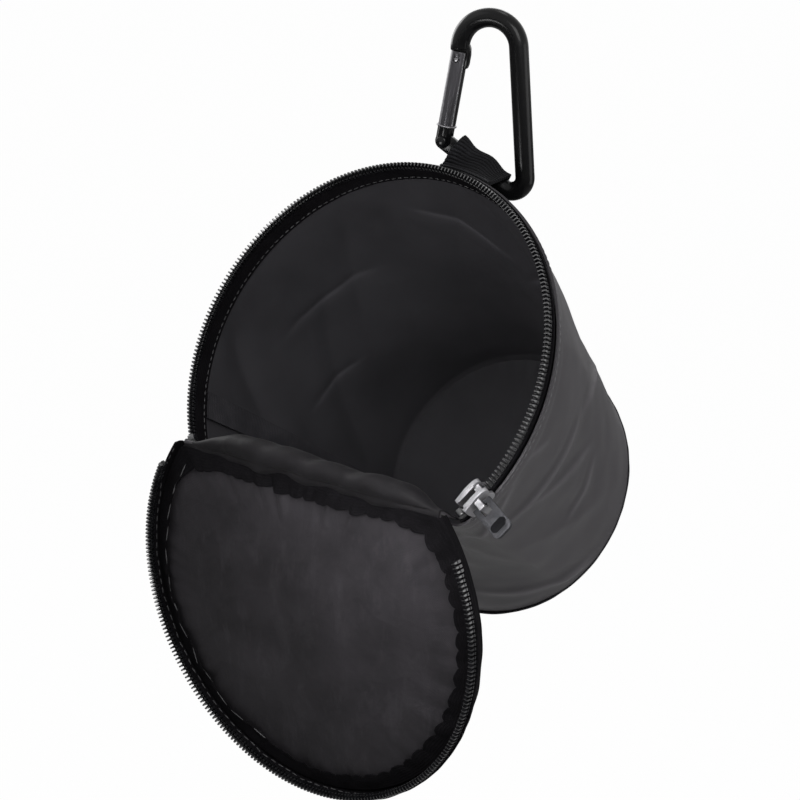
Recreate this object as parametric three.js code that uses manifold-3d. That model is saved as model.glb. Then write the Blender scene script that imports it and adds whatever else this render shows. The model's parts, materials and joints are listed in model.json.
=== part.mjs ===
// Round zipped peg bag that hangs from a carabiner, with its lid unzipped and hanging open.
// Millimetres, +Z up. The origin is the inside of the carabiner's crown, where the bag is hung up.
import * as THREE from "three";
import { mergeVertices } from "three/addons/utils/BufferGeometryUtils.js";
import Module from "manifold-3d";

const wasm = await Module();
wasm.setup();

// General
const CLEAR = 0.3; // gap kept between neighbouring pieces

// Bag shell. Its own frame has the mouth's centre as origin, y up the mouth and z out of it.
const MOUTH_RADIUS = 75; // middle of the zip
const HINGE_DROP = 45; // mouth centre to the straight hinge edge
const MOUTH_CORNER = 5; // round corner between the zip's arc and the hinge edge
const BASE_RADIUS = 54.5;
const BAG_DEPTH = 122; // zip's middle plane to the base
const BASE_SAG = 13; // the base hangs lower than the mouth's axis
const MOUTH_TILT = 31; // degrees that the mouth looks up
const FABRIC = 1.2;
const RIM_DROP = 4.8; // zip's middle plane to the fabric's hem
const BASE_THICKNESS = 2; // stiff board, heavy enough to tip the empty bag to its tilt
const BINDING_THICKNESS = 1;
const BINDING_HEIGHT = 5;
const SEAM_WIDTH = 8;
const SEAM_ANGLE = -112; // degrees from the top of the mouth, towards +x
const SEAM_THICKNESS = 0.8;

// Zip
const TAPE_THICKNESS = 0.8;
const TAPE_DEPTH = 9; // zip's middle plane to the tape's sewn edge in the bag
const TOOTH_PITCH = 3.1;
const TOOTH_REACH = 0.7; // how far a tooth passes the zip's middle plane
const CHAIN_HALF = 2.4; // zip's middle plane to the chain's outer edge
const CHAIN_THICKNESS = 2.2;
const STOP_LENGTH = 2.4;
const SLIDER_LENGTH = 10.5;
const SLIDER_FRONT = 8.4;
const SLIDER_REAR = 6.8;
const SLIDER_PLATE = 1.4;
const SLIDER_FLANGE = 0.9;
const SLIDER_BULGE = 0.8; // how far the plate's rear end rounds out
const CURVE_ROOM = 0.1; // more room in the slider, for the curve of the chain
const POST_LENGTH = 2.6;
const BRIDGE_WIDTH = 2.2;
const BRIDGE_WIRE = 1.3;
const BRIDGE_SPAN = 6;
const TAB_LENGTH = 13.5; // pivot to the tip
const TAB_WIDTH = 7.6;
const TAB_THICKNESS = 1.2;
const TAB_ROUND = 2;
const TAB_SLOT_WIDTH = 4.6;
const TAB_SLOT_LENGTH = 3.4;
const TAB_LIFT = 92; // degrees from the bag's wall, as it stands off the slider

// Lid
const LID_HEIGHT = 6; // zip's middle plane to the middle of the lid's panel
const LID_FABRIC = 0.9;
const LID_SEAM_WIDTH = 6;
const LID_SEAM_WAVE = 0.9;
const LID_SEAM_WAVES = 26;
const HINGE_BEAD = 1.2; // radius of the rolled edge that the lid turns on
const LID_LEAN = 1.2; // degrees past straight down, where the lid's weight is under its hinge

// Webbing loop
const LOOP_ANGLE = 8.5; // degrees from the top of the mouth, towards +x
const LOOP_WIDTH = 20;
const LOOP_THICKNESS = 1.4;
const LOOP_PATCH = 8; // length sewn down on the hem
const BAR_RISE = 8; // mouth radius to the carabiner's bar
const BAR_SETBACK = 15; // zip's middle plane to the carabiner's bar

// Carabiner
const ROD_RADIUS = 3.5;
const CROWN_RADIUS = 10.9;
const SPINE_LENGTH = 46.5;
const SPINE_LEAN = 4.4; // degrees
const HEEL_RADIUS = 5;
const BAR_LENGTH = 24;
const BAR_SLOPE = 35; // degrees
const NOSE_DROP = 4; // degrees that the crown's arc runs on below its middle
const CARABINER_YAW = 18; // degrees
const TONGUE_THICKNESS = 2.4;
const TONGUE_WIDTH = 4.6;
const NOSE_TONGUE = 6.4;
const NOSE_BEVEL = 1;
const LUG_RADIUS = 3.1;
const LUG_REACH = 4.2; // end of the round bar to the gate's pivot
const GATE_RADIUS = 3.2;
const RIVET_RADIUS = 1.1;
const RIVET_HEAD = 1.9;
const RIVET_HEAD_HEIGHT = 0.7;
const LATCH_RADIUS = 0.8;
const LATCH_DROP = 3.4; // end of the nose to the latch pin
const SPRING_RADIUS = 1.2;
const SPRING_WIRE = 0.6;
const SPRING_LENGTH = 11;
const SPRING_TURNS = 7;

// Facets
const ARC_STEPS = 48;
const CORNER_STEPS = 3;
const CHORD_STEPS = 12;
const ROD_SIDES = 12;
const ROD_STEPS = 56;

// Worked out from the sizes above
const radians = THREE.MathUtils.degToRad;
const TAPE_OUT = TAPE_THICKNESS / 2;
const WALL_OUT = TAPE_OUT + CLEAR + FABRIC; // outside of the fabric, past the zip's own surface
const TOOTH_ROOT = TOOTH_REACH + CLEAR;
const LID_EDGE = HINGE_BEAD + CLEAR; // inset of the lid's panel from the mouth's outline
const LID_OPENING = 180 + MOUTH_TILT + LID_LEAN; // degrees from closed to hanging down

const GREY_FABRIC = { color: 0x424144, roughness: 0.55, metalness: 0 };
const BLACK_TAPE = { color: 0x18171a, roughness: 0.85, metalness: 0 };
const BLACK_TEETH = { color: 0x121214, roughness: 0.4, metalness: 0 };
const BLACK_GLOSS = { color: 0x0d0d0e, roughness: 0.2, metalness: 0.6 };
const GATE_METAL = { color: 0x3e3f42, roughness: 0.3, metalness: 0.9 };
const SILVER = { color: 0xaaaaae, roughness: 0.35, metalness: 1 };
const TAB_METAL = { color: 0x55565a, roughness: 0.4, metalness: 0.9 };

function piece(name, geometry, finish) {
  const mesh = new THREE.Mesh(geometry, new THREE.MeshStandardMaterial(finish));
  mesh.name = name;
  return mesh;
}

// A closed geometry from points and triangles, turned so that its faces point out.
function closedGeometry(points, triangles) {
  const a = new THREE.Vector3();
  let volume = 0;
  for (let i = 0; i < triangles.length; i += 3) {
    const [p, q, r] = [points[triangles[i]], points[triangles[i + 1]], points[triangles[i + 2]]];
    volume += p.dot(a.crossVectors(q, r));
  }
  const order = volume < 0 ? triangles.slice().reverse() : triangles;
  const geometry = new THREE.BufferGeometry().setFromPoints(points);
  geometry.setIndex(order);
  geometry.computeVertexNormals();
  return geometry;
}

// A sheet with thickness between two grids of points. Rows go along it, and wrap joins the last to the first.
function slab(front, back, wrap = false) {
  const rows = front.length;
  const columns = front[0].length;
  const points = [...front.flat(), ...back.flat()];
  const triangles = [];
  const quad = (p, q, r, s) => triangles.push(p, q, r, p, r, s);
  const at = (side, i, j) => side * rows * columns + (i % rows) * columns + j;
  const spans = wrap ? rows : rows - 1;
  for (let i = 0; i < spans; i++) {
    for (let j = 0; j < columns - 1; j++) {
      quad(at(0, i, j), at(0, i + 1, j), at(0, i + 1, j + 1), at(0, i, j + 1));
      quad(at(1, i, j), at(1, i, j + 1), at(1, i + 1, j + 1), at(1, i + 1, j));
    }
    quad(at(0, i, 0), at(1, i, 0), at(1, i + 1, 0), at(0, i + 1, 0));
    const last = columns - 1;
    quad(at(0, i, last), at(0, i + 1, last), at(1, i + 1, last), at(1, i, last));
  }
  if (!wrap) {
    for (let j = 0; j < columns - 1; j++) {
      const end = rows - 1;
      quad(at(0, 0, j), at(0, 0, j + 1), at(1, 0, j + 1), at(1, 0, j));
      quad(at(0, end, j), at(1, end, j), at(1, end, j + 1), at(0, end, j + 1));
    }
  }
  return closedGeometry(points, triangles);
}

function solidFrom(geometry) {
  const bare = geometry.clone();
  bare.deleteAttribute("normal");
  bare.deleteAttribute("uv");
  const merged = mergeVertices(bare, 1e-4);
  return new wasm.Manifold(
    new wasm.Mesh({
      numProp: 3,
      vertProperties: merged.attributes.position.array,
      triVerts: new Uint32Array(merged.index.array),
    }),
  );
}

function geometryFrom(solid) {
  const mesh = solid.getMesh();
  const geometry = new THREE.BufferGeometry();
  geometry.setAttribute("position", new THREE.BufferAttribute(mesh.vertProperties, 3));
  geometry.setIndex(new THREE.BufferAttribute(mesh.triVerts, 1));
  geometry.computeVertexNormals();
  return geometry;
}

const join = (geometries) => geometries.map(solidFrom).reduce((whole, next) => whole.add(next));
const cut = (solid, geometries) => geometries.map(solidFrom).reduce((left, next) => left.subtract(next), solid);

function block(lowX, highX, lowY, highY, lowZ, highZ) {
  const geometry = new THREE.BoxGeometry(highX - lowX, highY - lowY, highZ - lowZ);
  return geometry.translate((lowX + highX) / 2, (lowY + highY) / 2, (lowZ + highZ) / 2);
}

// A round bar along Y, the way across the carabiner.
function crossBar(radius, length, sides = 12) {
  return new THREE.CylinderGeometry(radius, radius, length, sides);
}

// Where the corner's round meets the mouth's arc, seen as an angle from the top of the mouth.
function cornerOf(radius, drop, corner) {
  const x = Math.sqrt((radius - corner) ** 2 - (drop - corner) ** 2);
  return { x, y: corner - drop, angle: Math.atan2(x, corner - drop) };
}

// The mouth's outline: left corner, arc over the top, right corner, then the straight hinge edge.
function mouthOutline(radius, drop, corner, arcSteps = ARC_STEPS) {
  const centre = cornerOf(radius, drop, corner);
  const points = [];
  const round = (side, from, to, steps, size) => {
    for (let i = 0; i <= steps; i++) {
      const angle = from + ((to - from) * i) / steps;
      const [x, y] = side === 0 ? [0, 0] : [side * centre.x, centre.y];
      points.push(new THREE.Vector2(x + size * Math.sin(angle), y + size * Math.cos(angle)));
    }
  };
  round(-1, -Math.PI, -centre.angle - (Math.PI - centre.angle) / CORNER_STEPS, CORNER_STEPS - 1, corner);
  round(0, -centre.angle, centre.angle, arcSteps, radius);
  round(1, centre.angle + (Math.PI - centre.angle) / CORNER_STEPS, Math.PI, CORNER_STEPS - 1, corner);
  for (let i = 1; i < CHORD_STEPS; i++) {
    points.push(new THREE.Vector2(centre.x * (1 - (2 * i) / CHORD_STEPS), -drop));
  }
  return points;
}

const zipCorner = cornerOf(MOUTH_RADIUS, HINGE_DROP, MOUTH_CORNER);
const mouthPoint = (angle, radius, z) =>
  new THREE.Vector3(radius * Math.sin(angle), radius * Math.cos(angle), z);

// How far down the bag's wall a height lies, from 0 at the hem to 1 at the base.
const wallShare = (z) => Math.max(0, (-z - RIM_DROP) / (BAG_DEPTH - RIM_DROP));

// A ring of the bag's wall at height z, inset from its outside. It turns from the mouth's outline to a circle.
function wallRing(z, inset) {
  const share = wallShare(z);
  const grow = WALL_OUT - inset;
  const mouth = mouthOutline(MOUTH_RADIUS + grow, HINGE_DROP + grow, MOUTH_CORNER + grow);
  return mouth.map((point) => {
    const angle = Math.atan2(point.x, point.y);
    const base = new THREE.Vector2(Math.sin(angle), Math.cos(angle)).multiplyScalar(BASE_RADIUS - inset);
    base.y -= BASE_SAG;
    const place = point.clone().lerp(base, share);
    return new THREE.Vector3(place.x, place.y, z);
  });
}

function wallPoint(angle, z, inset) {
  const share = wallShare(z);
  const mouth = mouthPoint(angle, MOUTH_RADIUS + WALL_OUT - inset, z);
  const base = mouthPoint(angle, BASE_RADIUS - inset, z);
  base.y -= BASE_SAG;
  return mouth.lerp(base, share);
}

// Rings at several heights, turned into rows that go round the bag.
function wallGrid(heights, inset) {
  const rings = heights.map((z) => wallRing(z, inset));
  return rings[0].map((_, i) => rings.map((ring) => ring[i]));
}

function sidePanel() {
  const steps = [0, 0.25, 0.5, 0.75, 1];
  const heights = steps.map((share) => -RIM_DROP - share * (BAG_DEPTH - RIM_DROP));
  return slab(wallGrid(heights, 0), wallGrid(heights, FABRIC), true);
}

// The base fills the foot of the wall, so its rim follows the wall's taper.
function basePanel() {
  const heights = [-BAG_DEPTH, -BAG_DEPTH + BASE_THICKNESS];
  const rings = heights.map((z) => wallRing(z, FABRIC + CLEAR));
  const count = rings[0].length;
  const centres = heights.map((z) => new THREE.Vector3(0, -BASE_SAG, z));
  const triangles = [];
  for (let i = 0; i < count; i++) {
    const next = (i + 1) % count;
    triangles.push(i, next, count + next, i, count + next, count + i);
    triangles.push(2 * count, next, i, 2 * count + 1, count + i, count + next);
  }
  return closedGeometry([...rings[0], ...rings[1], ...centres], triangles);
}

function baseBinding() {
  const heights = [-BAG_DEPTH + BINDING_HEIGHT, -BAG_DEPTH];
  return slab(wallGrid(heights, -CLEAR - BINDING_THICKNESS), wallGrid(heights, -CLEAR), true);
}

// The closing seam of the side panel, a strip on its inside.
function sideSeam() {
  const heights = [-TAPE_DEPTH - CLEAR, -BAG_DEPTH / 2, -BAG_DEPTH + BASE_THICKNESS + CLEAR];
  const spread = SEAM_WIDTH / 2 / BASE_RADIUS;
  const strip = (inset) =>
    heights.map((z) => [-1, 1].map((side) => wallPoint(radians(SEAM_ANGLE) + side * spread, z, inset)));
  const outside = FABRIC + CLEAR;
  return slab(strip(outside + SEAM_THICKNESS), strip(outside));
}

// A band that stands along the zip's arc. Each rail gives the inset and height of one edge of the band.
function arcBand(outer, inner, from, to, steps) {
  const rows = (rails) =>
    Array.from({ length: steps + 1 }, (_, i) => {
      const angle = from + ((to - from) * i) / steps;
      return rails.map(([inset, z]) => wallPoint(angle, z, inset));
    });
  return slab(rows(outer), rows(inner));
}

function mouthTape() {
  const heights = [-CHAIN_HALF - CLEAR, -RIM_DROP, -TAPE_DEPTH];
  const rails = (inset) => heights.map((z) => [inset, z]);
  const outside = FABRIC + CLEAR;
  return arcBand(
    rails(outside),
    rails(outside + TAPE_THICKNESS),
    -zipCorner.angle,
    zipCorner.angle,
    ARC_STEPS,
  );
}

function lidTape() {
  const low = CHAIN_HALF + CLEAR;
  const high = LID_HEIGHT + LID_FABRIC / 2;
  const lean = LID_EDGE - TAPE_OUT - CLEAR - TAPE_OUT; // the tape leans in to the panel's edge
  const rails = (inset) => [
    [WALL_OUT + inset, low],
    [WALL_OUT + inset + lean, high],
  ];
  return arcBand(rails(-TAPE_OUT), rails(TAPE_OUT), -zipCorner.angle, zipCorner.angle, ARC_STEPS);
}

// One side of the zip: a spine with square teeth. Side is -1 for the bag's chain and 1 for the lid's.
function chain(side, count, middle) {
  const step = TOOTH_PITCH / MOUTH_RADIUS;
  const tooth = (TOOTH_PITCH / 2 - CLEAR) / MOUTH_RADIUS;
  const edges = [];
  for (let k = 0; k < count; k++) {
    const centre = middle + (k - (count - 1) / 2) * step;
    edges.push(centre - tooth / 2, centre + tooth / 2);
  }
  const levels = [CHAIN_HALF * side, TOOTH_ROOT * side, -TOOTH_REACH * side];
  const points = [];
  for (const angle of edges) {
    for (const out of [-1, 1]) {
      const radius = MOUTH_RADIUS + (out * CHAIN_THICKNESS) / 2;
      points.push(...levels.map((z) => mouthPoint(angle, radius, z)));
    }
  }
  const triangles = [];
  const quad = (p, q, r, s) => triangles.push(p, q, r, p, r, s);
  const at = (edge, out, level) => edge * 6 + out * 3 + level;
  for (let e = 0; e < edges.length - 1; e++) {
    const top = e % 2 === 0 ? 2 : 1; // a tooth, then the gap after it
    for (let level = 0; level < top; level++) {
      quad(at(e, 1, level), at(e + 1, 1, level), at(e + 1, 1, level + 1), at(e, 1, level + 1));
      quad(at(e, 0, level), at(e, 0, level + 1), at(e + 1, 0, level + 1), at(e + 1, 0, level));
    }
    quad(at(e, 1, top), at(e + 1, 1, top), at(e + 1, 0, top), at(e, 0, top));
    quad(at(e, 1, 0), at(e, 0, 0), at(e + 1, 0, 0), at(e + 1, 1, 0));
  }
  edges.forEach((_, e) => {
    const starts = e % 2 === 0;
    const first = e === 0 || e === edges.length - 1 ? 0 : 1;
    for (let level = first; level < 2; level++) {
      const corners = [at(e, 0, level), at(e, 1, level), at(e, 1, level + 1), at(e, 0, level + 1)];
      quad(...(starts ? corners : corners.reverse()));
    }
  });
  return closedGeometry(points, triangles);
}

// A crimped stop past the end of the bag's chain, on the mouth's corner.
function zipStop(side) {
  const start = chainEnd + CLEAR / MOUTH_RADIUS;
  const end = start + STOP_LENGTH / MOUTH_RADIUS;
  const half = CHAIN_THICKNESS / 2 + CLEAR;
  const rails = (inset) => [
    [WALL_OUT + inset, TOOTH_REACH],
    [WALL_OUT + inset, -CHAIN_HALF],
  ];
  return arcBand(rails(-half), rails(half), side * start, side * end, 2);
}

// The strip of fabric that joins bag and lid, with the rolled edge on top that the lid turns on.
function hingeBand() {
  const half = TAPE_OUT;
  const neck = Math.asin(half / HINGE_BEAD);
  const profile = new THREE.Shape();
  profile.moveTo(-half, -RIM_DROP - LID_HEIGHT);
  profile.lineTo(half, -RIM_DROP - LID_HEIGHT);
  profile.lineTo(half, -HINGE_BEAD * Math.cos(neck));
  profile.absarc(0, 0, HINGE_BEAD, neck - Math.PI / 2, (3 * Math.PI) / 2 - neck, false);
  profile.lineTo(-half, -RIM_DROP - LID_HEIGHT);
  const length = 2 * zipCorner.x;
  const band = new THREE.ExtrudeGeometry(profile, { depth: length, bevelEnabled: false, curveSegments: 8 });
  band.rotateY(Math.PI / 2).rotateX(Math.PI / 2);
  return band.translate(-length / 2, -HINGE_DROP, LID_HEIGHT);
}

function lidPanel() {
  const outline = mouthOutline(MOUTH_RADIUS - LID_EDGE, HINGE_DROP - LID_EDGE, MOUTH_CORNER - LID_EDGE);
  const panel = new THREE.ExtrudeGeometry(new THREE.Shape(outline), { depth: LID_FABRIC, bevelEnabled: false });
  return panel.translate(0, 0, LID_HEIGHT - LID_FABRIC / 2);
}

// The lid's seam allowance, a frilled strip round the inside of the panel.
function lidSeam() {
  const steps = LID_SEAM_WAVES * 4;
  const corner = MOUTH_CORNER - LID_EDGE;
  const top = LID_HEIGHT - LID_FABRIC / 2 - CLEAR;
  const edge = (inset) =>
    mouthOutline(MOUTH_RADIUS - inset, HINGE_DROP - inset, corner, steps);
  const outer = edge(LID_EDGE);
  const middle = edge(LID_EDGE + LID_SEAM_WIDTH);
  const rows = (z) =>
    outer.map((point, i) => {
      const wave = (Math.cos((Math.PI * i) / 2) * LID_SEAM_WAVE) / LID_SEAM_WIDTH;
      const inner = point.clone().lerp(middle[i], 1 + wave);
      return [new THREE.Vector3(point.x, point.y, z), new THREE.Vector3(inner.x, inner.y, z)];
    });
  return slab(rows(top), rows(top - SEAM_THICKNESS), true);
}

// Slider: its x runs the way it closes, y out of the mouth and z away from the bag's axis.
const CHANNEL = CHAIN_THICKNESS / 2 + CLEAR + CURVE_ROOM;
const TAB_TURN = TAB_THICKNESS / Math.SQRT2; // what the tab's square cross bar sweeps as it turns
const PIVOT_HEIGHT = CHANNEL + SLIDER_PLATE + CLEAR + TAB_TURN;
const BRIDGE_TOP = PIVOT_HEIGHT + TAB_TURN + CLEAR + BRIDGE_WIRE;

function sliderPlate(height) {
  const [rear, front] = [-SLIDER_LENGTH / 2, SLIDER_LENGTH / 2];
  const shape = new THREE.Shape();
  shape.moveTo(rear, -SLIDER_REAR / 2);
  shape.quadraticCurveTo(rear - SLIDER_BULGE, 0, rear, SLIDER_REAR / 2);
  shape.lineTo(0, SLIDER_FRONT / 2);
  shape.quadraticCurveTo(front, SLIDER_FRONT / 2, front, SLIDER_FRONT / 4);
  shape.lineTo(front - POST_LENGTH / 3, 0);
  shape.lineTo(front, -SLIDER_FRONT / 4);
  shape.quadraticCurveTo(front, -SLIDER_FRONT / 2, 0, -SLIDER_FRONT / 2);
  shape.lineTo(rear, -SLIDER_REAR / 2);
  const plate = new THREE.ExtrudeGeometry(shape, { depth: SLIDER_PLATE, bevelEnabled: false, curveSegments: 5 });
  return plate.translate(0, 0, height);
}

function sliderBody() {
  const pieces = [sliderPlate(CHANNEL), sliderPlate(-CHANNEL - SLIDER_PLATE)];
  const front = SLIDER_LENGTH / 2 - POST_LENGTH / 3;
  const reach = CHANNEL + SLIDER_PLATE / 2;
  pieces.push(block(front - POST_LENGTH, front - CLEAR, TOOTH_ROOT, CHAIN_HALF, -reach, reach));
  const low = CHAIN_HALF + 2 * CLEAR;
  for (const side of [-1, 1]) {
    for (const face of [-1, 1]) {
      const across = [side * low, side * (low + SLIDER_FLANGE)].sort((a, b) => a - b);
      const depth = [face * (TAPE_OUT + 2 * CLEAR), face * reach].sort((a, b) => a - b);
      pieces.push(block(-SLIDER_LENGTH / 2 + SLIDER_FLANGE, SLIDER_LENGTH / 4, ...across, ...depth));
    }
  }
  const half = BRIDGE_SPAN / 2;
  const arch = [
    [-half, -half + BRIDGE_WIRE, reach],
    [half - BRIDGE_WIRE, half, reach],
    [-half, half, BRIDGE_TOP - BRIDGE_WIRE],
  ];
  for (const [from, to, foot] of arch) {
    pieces.push(block(-BRIDGE_WIDTH / 2, BRIDGE_WIDTH / 2, from, to, foot, BRIDGE_TOP));
  }
  return geometryFrom(join(pieces));
}

// Pull tab: y runs from the pivot to the tip. Its cross bar lies along x under the slider's bridge.
function pullTab() {
  const half = TAB_WIDTH / 2;
  const bar = TAB_THICKNESS / 2;
  const corner = half - TAB_ROUND;
  const shoulder = TAB_LENGTH - TAB_ROUND;
  const outline = new THREE.Shape();
  outline.moveTo(-half, -bar);
  outline.lineTo(half, -bar);
  outline.absarc(corner, shoulder, TAB_ROUND, 0, Math.PI / 2, false);
  outline.absarc(-corner, shoulder, TAB_ROUND, Math.PI / 2, Math.PI, false);
  const round = TAB_SLOT_LENGTH / 2;
  const slotMiddle = shoulder - round;
  const slotEnd = TAB_SLOT_WIDTH / 2 - round;
  const slot = new THREE.Path();
  slot.absarc(slotEnd, slotMiddle, round, -Math.PI / 2, Math.PI / 2, false);
  slot.absarc(-slotEnd, slotMiddle, round, Math.PI / 2, (3 * Math.PI) / 2, false);
  const side = BRIDGE_WIDTH / 2 + 2 * CLEAR;
  const reach = Math.hypot(BRIDGE_SPAN / 2, BRIDGE_TOP - PIVOT_HEIGHT) + CLEAR;
  const eye = new THREE.Path();
  eye.moveTo(-side, bar);
  eye.lineTo(side, bar);
  eye.lineTo(side, reach);
  eye.lineTo(-side, reach);
  eye.lineTo(-side, bar);
  outline.holes.push(slot, eye);
  const plate = new THREE.ExtrudeGeometry(outline, { depth: TAB_THICKNESS, bevelEnabled: false, curveSegments: 5 });
  return plate.translate(0, 0, -bar);
}

// Carabiner, in its own plane: x to the spine, z up, origin inside the crown.
function carabinerPath() {
  const lean = radians(SPINE_LEAN);
  const slope = radians(BAR_SLOPE);
  const place = (x, z) => new THREE.Vector3(x, 0, z);
  const crown = place(0, ROD_RADIUS - CROWN_RADIUS);
  const onRound = (centre, radius, angle) =>
    place(centre.x + radius * Math.cos(angle), centre.z + radius * Math.sin(angle));
  const noseAngle = Math.PI + radians(NOSE_DROP);
  const spineTop = onRound(crown, CROWN_RADIUS, lean);
  const down = place(Math.sin(lean), -Math.cos(lean));
  const spineFoot = spineTop.clone().addScaledVector(down, SPINE_LENGTH);
  const heel = place(spineFoot.x - HEEL_RADIUS * Math.cos(lean), spineFoot.z - HEEL_RADIUS * Math.sin(lean));
  const heelEnd = slope - Math.PI / 2 - 2 * slope;
  const barFoot = onRound(heel, HEEL_RADIUS, heelEnd);
  const barWay = place(-Math.cos(slope), Math.sin(slope));
  const barEnd = barFoot.clone().addScaledVector(barWay, BAR_LENGTH);
  return {
    crown,
    heel,
    noseAngle,
    lean,
    heelEnd,
    spineTop,
    spineFoot,
    barFoot,
    barEnd,
    barWay,
    nose: onRound(crown, CROWN_RADIUS, noseAngle),
    barMiddle: barFoot.clone().lerp(barEnd, 0.5),
    pivot: barEnd.clone().addScaledVector(barWay, LUG_REACH),
  };
}

class PlaneArc extends THREE.Curve {
  constructor(centre, radius, from, to) {
    super();
    Object.assign(this, { centre, radius, from, to });
  }
  getPoint(t, target = new THREE.Vector3()) {
    const angle = this.from + (this.to - this.from) * t;
    const [x, z] = [Math.cos(angle), Math.sin(angle)];
    return target.set(this.centre.x + this.radius * x, 0, this.centre.z + this.radius * z);
  }
}

class Coil extends THREE.Curve {
  getPoint(t, target = new THREE.Vector3()) {
    const angle = 2 * Math.PI * SPRING_TURNS * t;
    return target.set(SPRING_RADIUS * Math.cos(angle), SPRING_RADIUS * Math.sin(angle), SPRING_LENGTH * t);
  }
}

function circle(radius) {
  return new THREE.Shape().absarc(0, 0, radius, 0, 2 * Math.PI, false);
}

const hook = carabinerPath();
const gateWay = hook.nose.clone().sub(hook.pivot);
const gateReach = gateWay.length(); // pivot to the end of the nose
const gateLean = Math.atan2(gateWay.x, gateWay.z);

// A flat tongue across the carabiner, cut from an outline in the gate's own x and z.
function tongue(outline) {
  const plate = new THREE.ExtrudeGeometry(outline, {
    depth: TONGUE_THICKNESS,
    bevelEnabled: false,
    curveSegments: 8,
  });
  plate.rotateX(Math.PI / 2).translate(0, TONGUE_THICKNESS / 2, 0);
  return plate.rotateY(gateLean).translate(hook.pivot.x, 0, hook.pivot.z);
}

function carabinerBody() {
  const path = new THREE.CurvePath();
  path.add(new PlaneArc(hook.crown, CROWN_RADIUS, hook.noseAngle, hook.lean));
  path.add(new THREE.LineCurve3(hook.spineTop, hook.spineFoot));
  path.add(new PlaneArc(hook.heel, HEEL_RADIUS, hook.lean, hook.heelEnd));
  path.add(new THREE.LineCurve3(hook.barFoot, hook.barEnd));
  const rod = new THREE.ExtrudeGeometry(circle(ROD_RADIUS), {
    steps: ROD_STEPS,
    extrudePath: path,
    curveSegments: ROD_SIDES / 2,
  });

  // Nose tongue, with the hook that the latch pin drops into from inside.
  const half = TONGUE_WIDTH / 2;
  const tip = gateReach - NOSE_TONGUE;
  const latch = gateReach - LATCH_DROP;
  const room = LATCH_RADIUS + CLEAR;
  const nose = new THREE.Shape();
  nose.moveTo(-half, gateReach + ROD_RADIUS / 2);
  nose.lineTo(-half, tip + NOSE_BEVEL);
  nose.lineTo(NOSE_BEVEL - half, tip);
  nose.lineTo(half, tip);
  nose.lineTo(half, latch - room);
  nose.lineTo(0, latch - room);
  nose.absarc(0, latch, room, -Math.PI / 2, -1.5 * Math.PI, true);
  nose.lineTo(half, latch + room);
  nose.lineTo(half, gateReach + ROD_RADIUS / 2);

  // Lug at the bar's end, with the hole for the gate's rivet.
  const bar = hook.barEnd.clone().sub(hook.pivot).applyAxisAngle(new THREE.Vector3(0, 1, 0), -gateLean);
  const toBar = Math.atan2(bar.z, bar.x);
  const lug = new THREE.Shape();
  lug.absarc(0, 0, LUG_RADIUS, toBar + Math.PI / 2, toBar + 1.5 * Math.PI, false);
  const into = bar.clone().setLength(bar.length() + ROD_RADIUS / 2);
  const side = new THREE.Vector3(-Math.sin(toBar), 0, Math.cos(toBar)).multiplyScalar(LUG_RADIUS);
  lug.lineTo(into.x - side.x, into.z - side.z);
  lug.lineTo(into.x + side.x, into.z + side.z);
  const whole = join([rod, tongue(nose), tongue(lug)]);
  const hole = crossBar(RIVET_RADIUS + CLEAR, 2 * ROD_RADIUS).translate(hook.pivot.x, 0, hook.pivot.z);
  return geometryFrom(cut(whole, [hole]));
}

// Gate, along z from its pivot: a round bar forked at both ends, bored for its spring.
function carabinerGate() {
  const top = gateReach - 2 * CLEAR;
  const bar = new THREE.CylinderGeometry(GATE_RADIUS, GATE_RADIUS, top, ROD_SIDES);
  bar.rotateX(Math.PI / 2).translate(0, 0, top / 2);
  const foot = new THREE.SphereGeometry(GATE_RADIUS, ROD_SIDES, 8);
  const slot = TONGUE_THICKNESS / 2 + CLEAR;
  const wide = 2 * GATE_RADIUS;
  const footSlot = LUG_RADIUS + CLEAR;
  const bore = new THREE.CylinderGeometry(
    SPRING_RADIUS + SPRING_WIRE / 2 + CLEAR,
    SPRING_RADIUS + SPRING_WIRE / 2 + CLEAR,
    SPRING_LENGTH + SPRING_WIRE + 2 * CLEAR,
    ROD_SIDES,
  );
  bore.rotateX(Math.PI / 2).translate(0, 0, footSlot + (SPRING_LENGTH + SPRING_WIRE) / 2);
  const latch = crossBar(LATCH_RADIUS + CLEAR, 4 * GATE_RADIUS).translate(0, 0, gateReach - LATCH_DROP);
  return geometryFrom(
    cut(join([bar, foot]), [
      block(-wide, wide, -slot, slot, gateReach - NOSE_TONGUE - 2 * CLEAR, gateReach),
      block(-wide, wide, -slot, slot, -wide, footSlot),
      bore,
      crossBar(RIVET_RADIUS + CLEAR, 4 * GATE_RADIUS),
      latch,
    ]),
  );
}

function gateRivet() {
  const seat = GATE_RADIUS + CLEAR;
  const half = [
    [RIVET_RADIUS, seat],
    [RIVET_HEAD, seat],
    [RIVET_HEAD, seat + RIVET_HEAD_HEIGHT / 2],
    [RIVET_HEAD / 2, seat + RIVET_HEAD_HEIGHT],
  ];
  const lower = half.map(([r, y]) => [r, -y]).reverse();
  const profile = [[0, -seat - RIVET_HEAD_HEIGHT], ...lower, ...half, [0, seat + RIVET_HEAD_HEIGHT]];
  return new THREE.LatheGeometry(
    profile.map(([r, y]) => new THREE.Vector2(r, y)),
    ROD_SIDES,
  );
}

function latchPin() {
  const length = 2 * Math.sqrt(GATE_RADIUS ** 2 - LATCH_RADIUS ** 2);
  return crossBar(LATCH_RADIUS, length);
}

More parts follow.
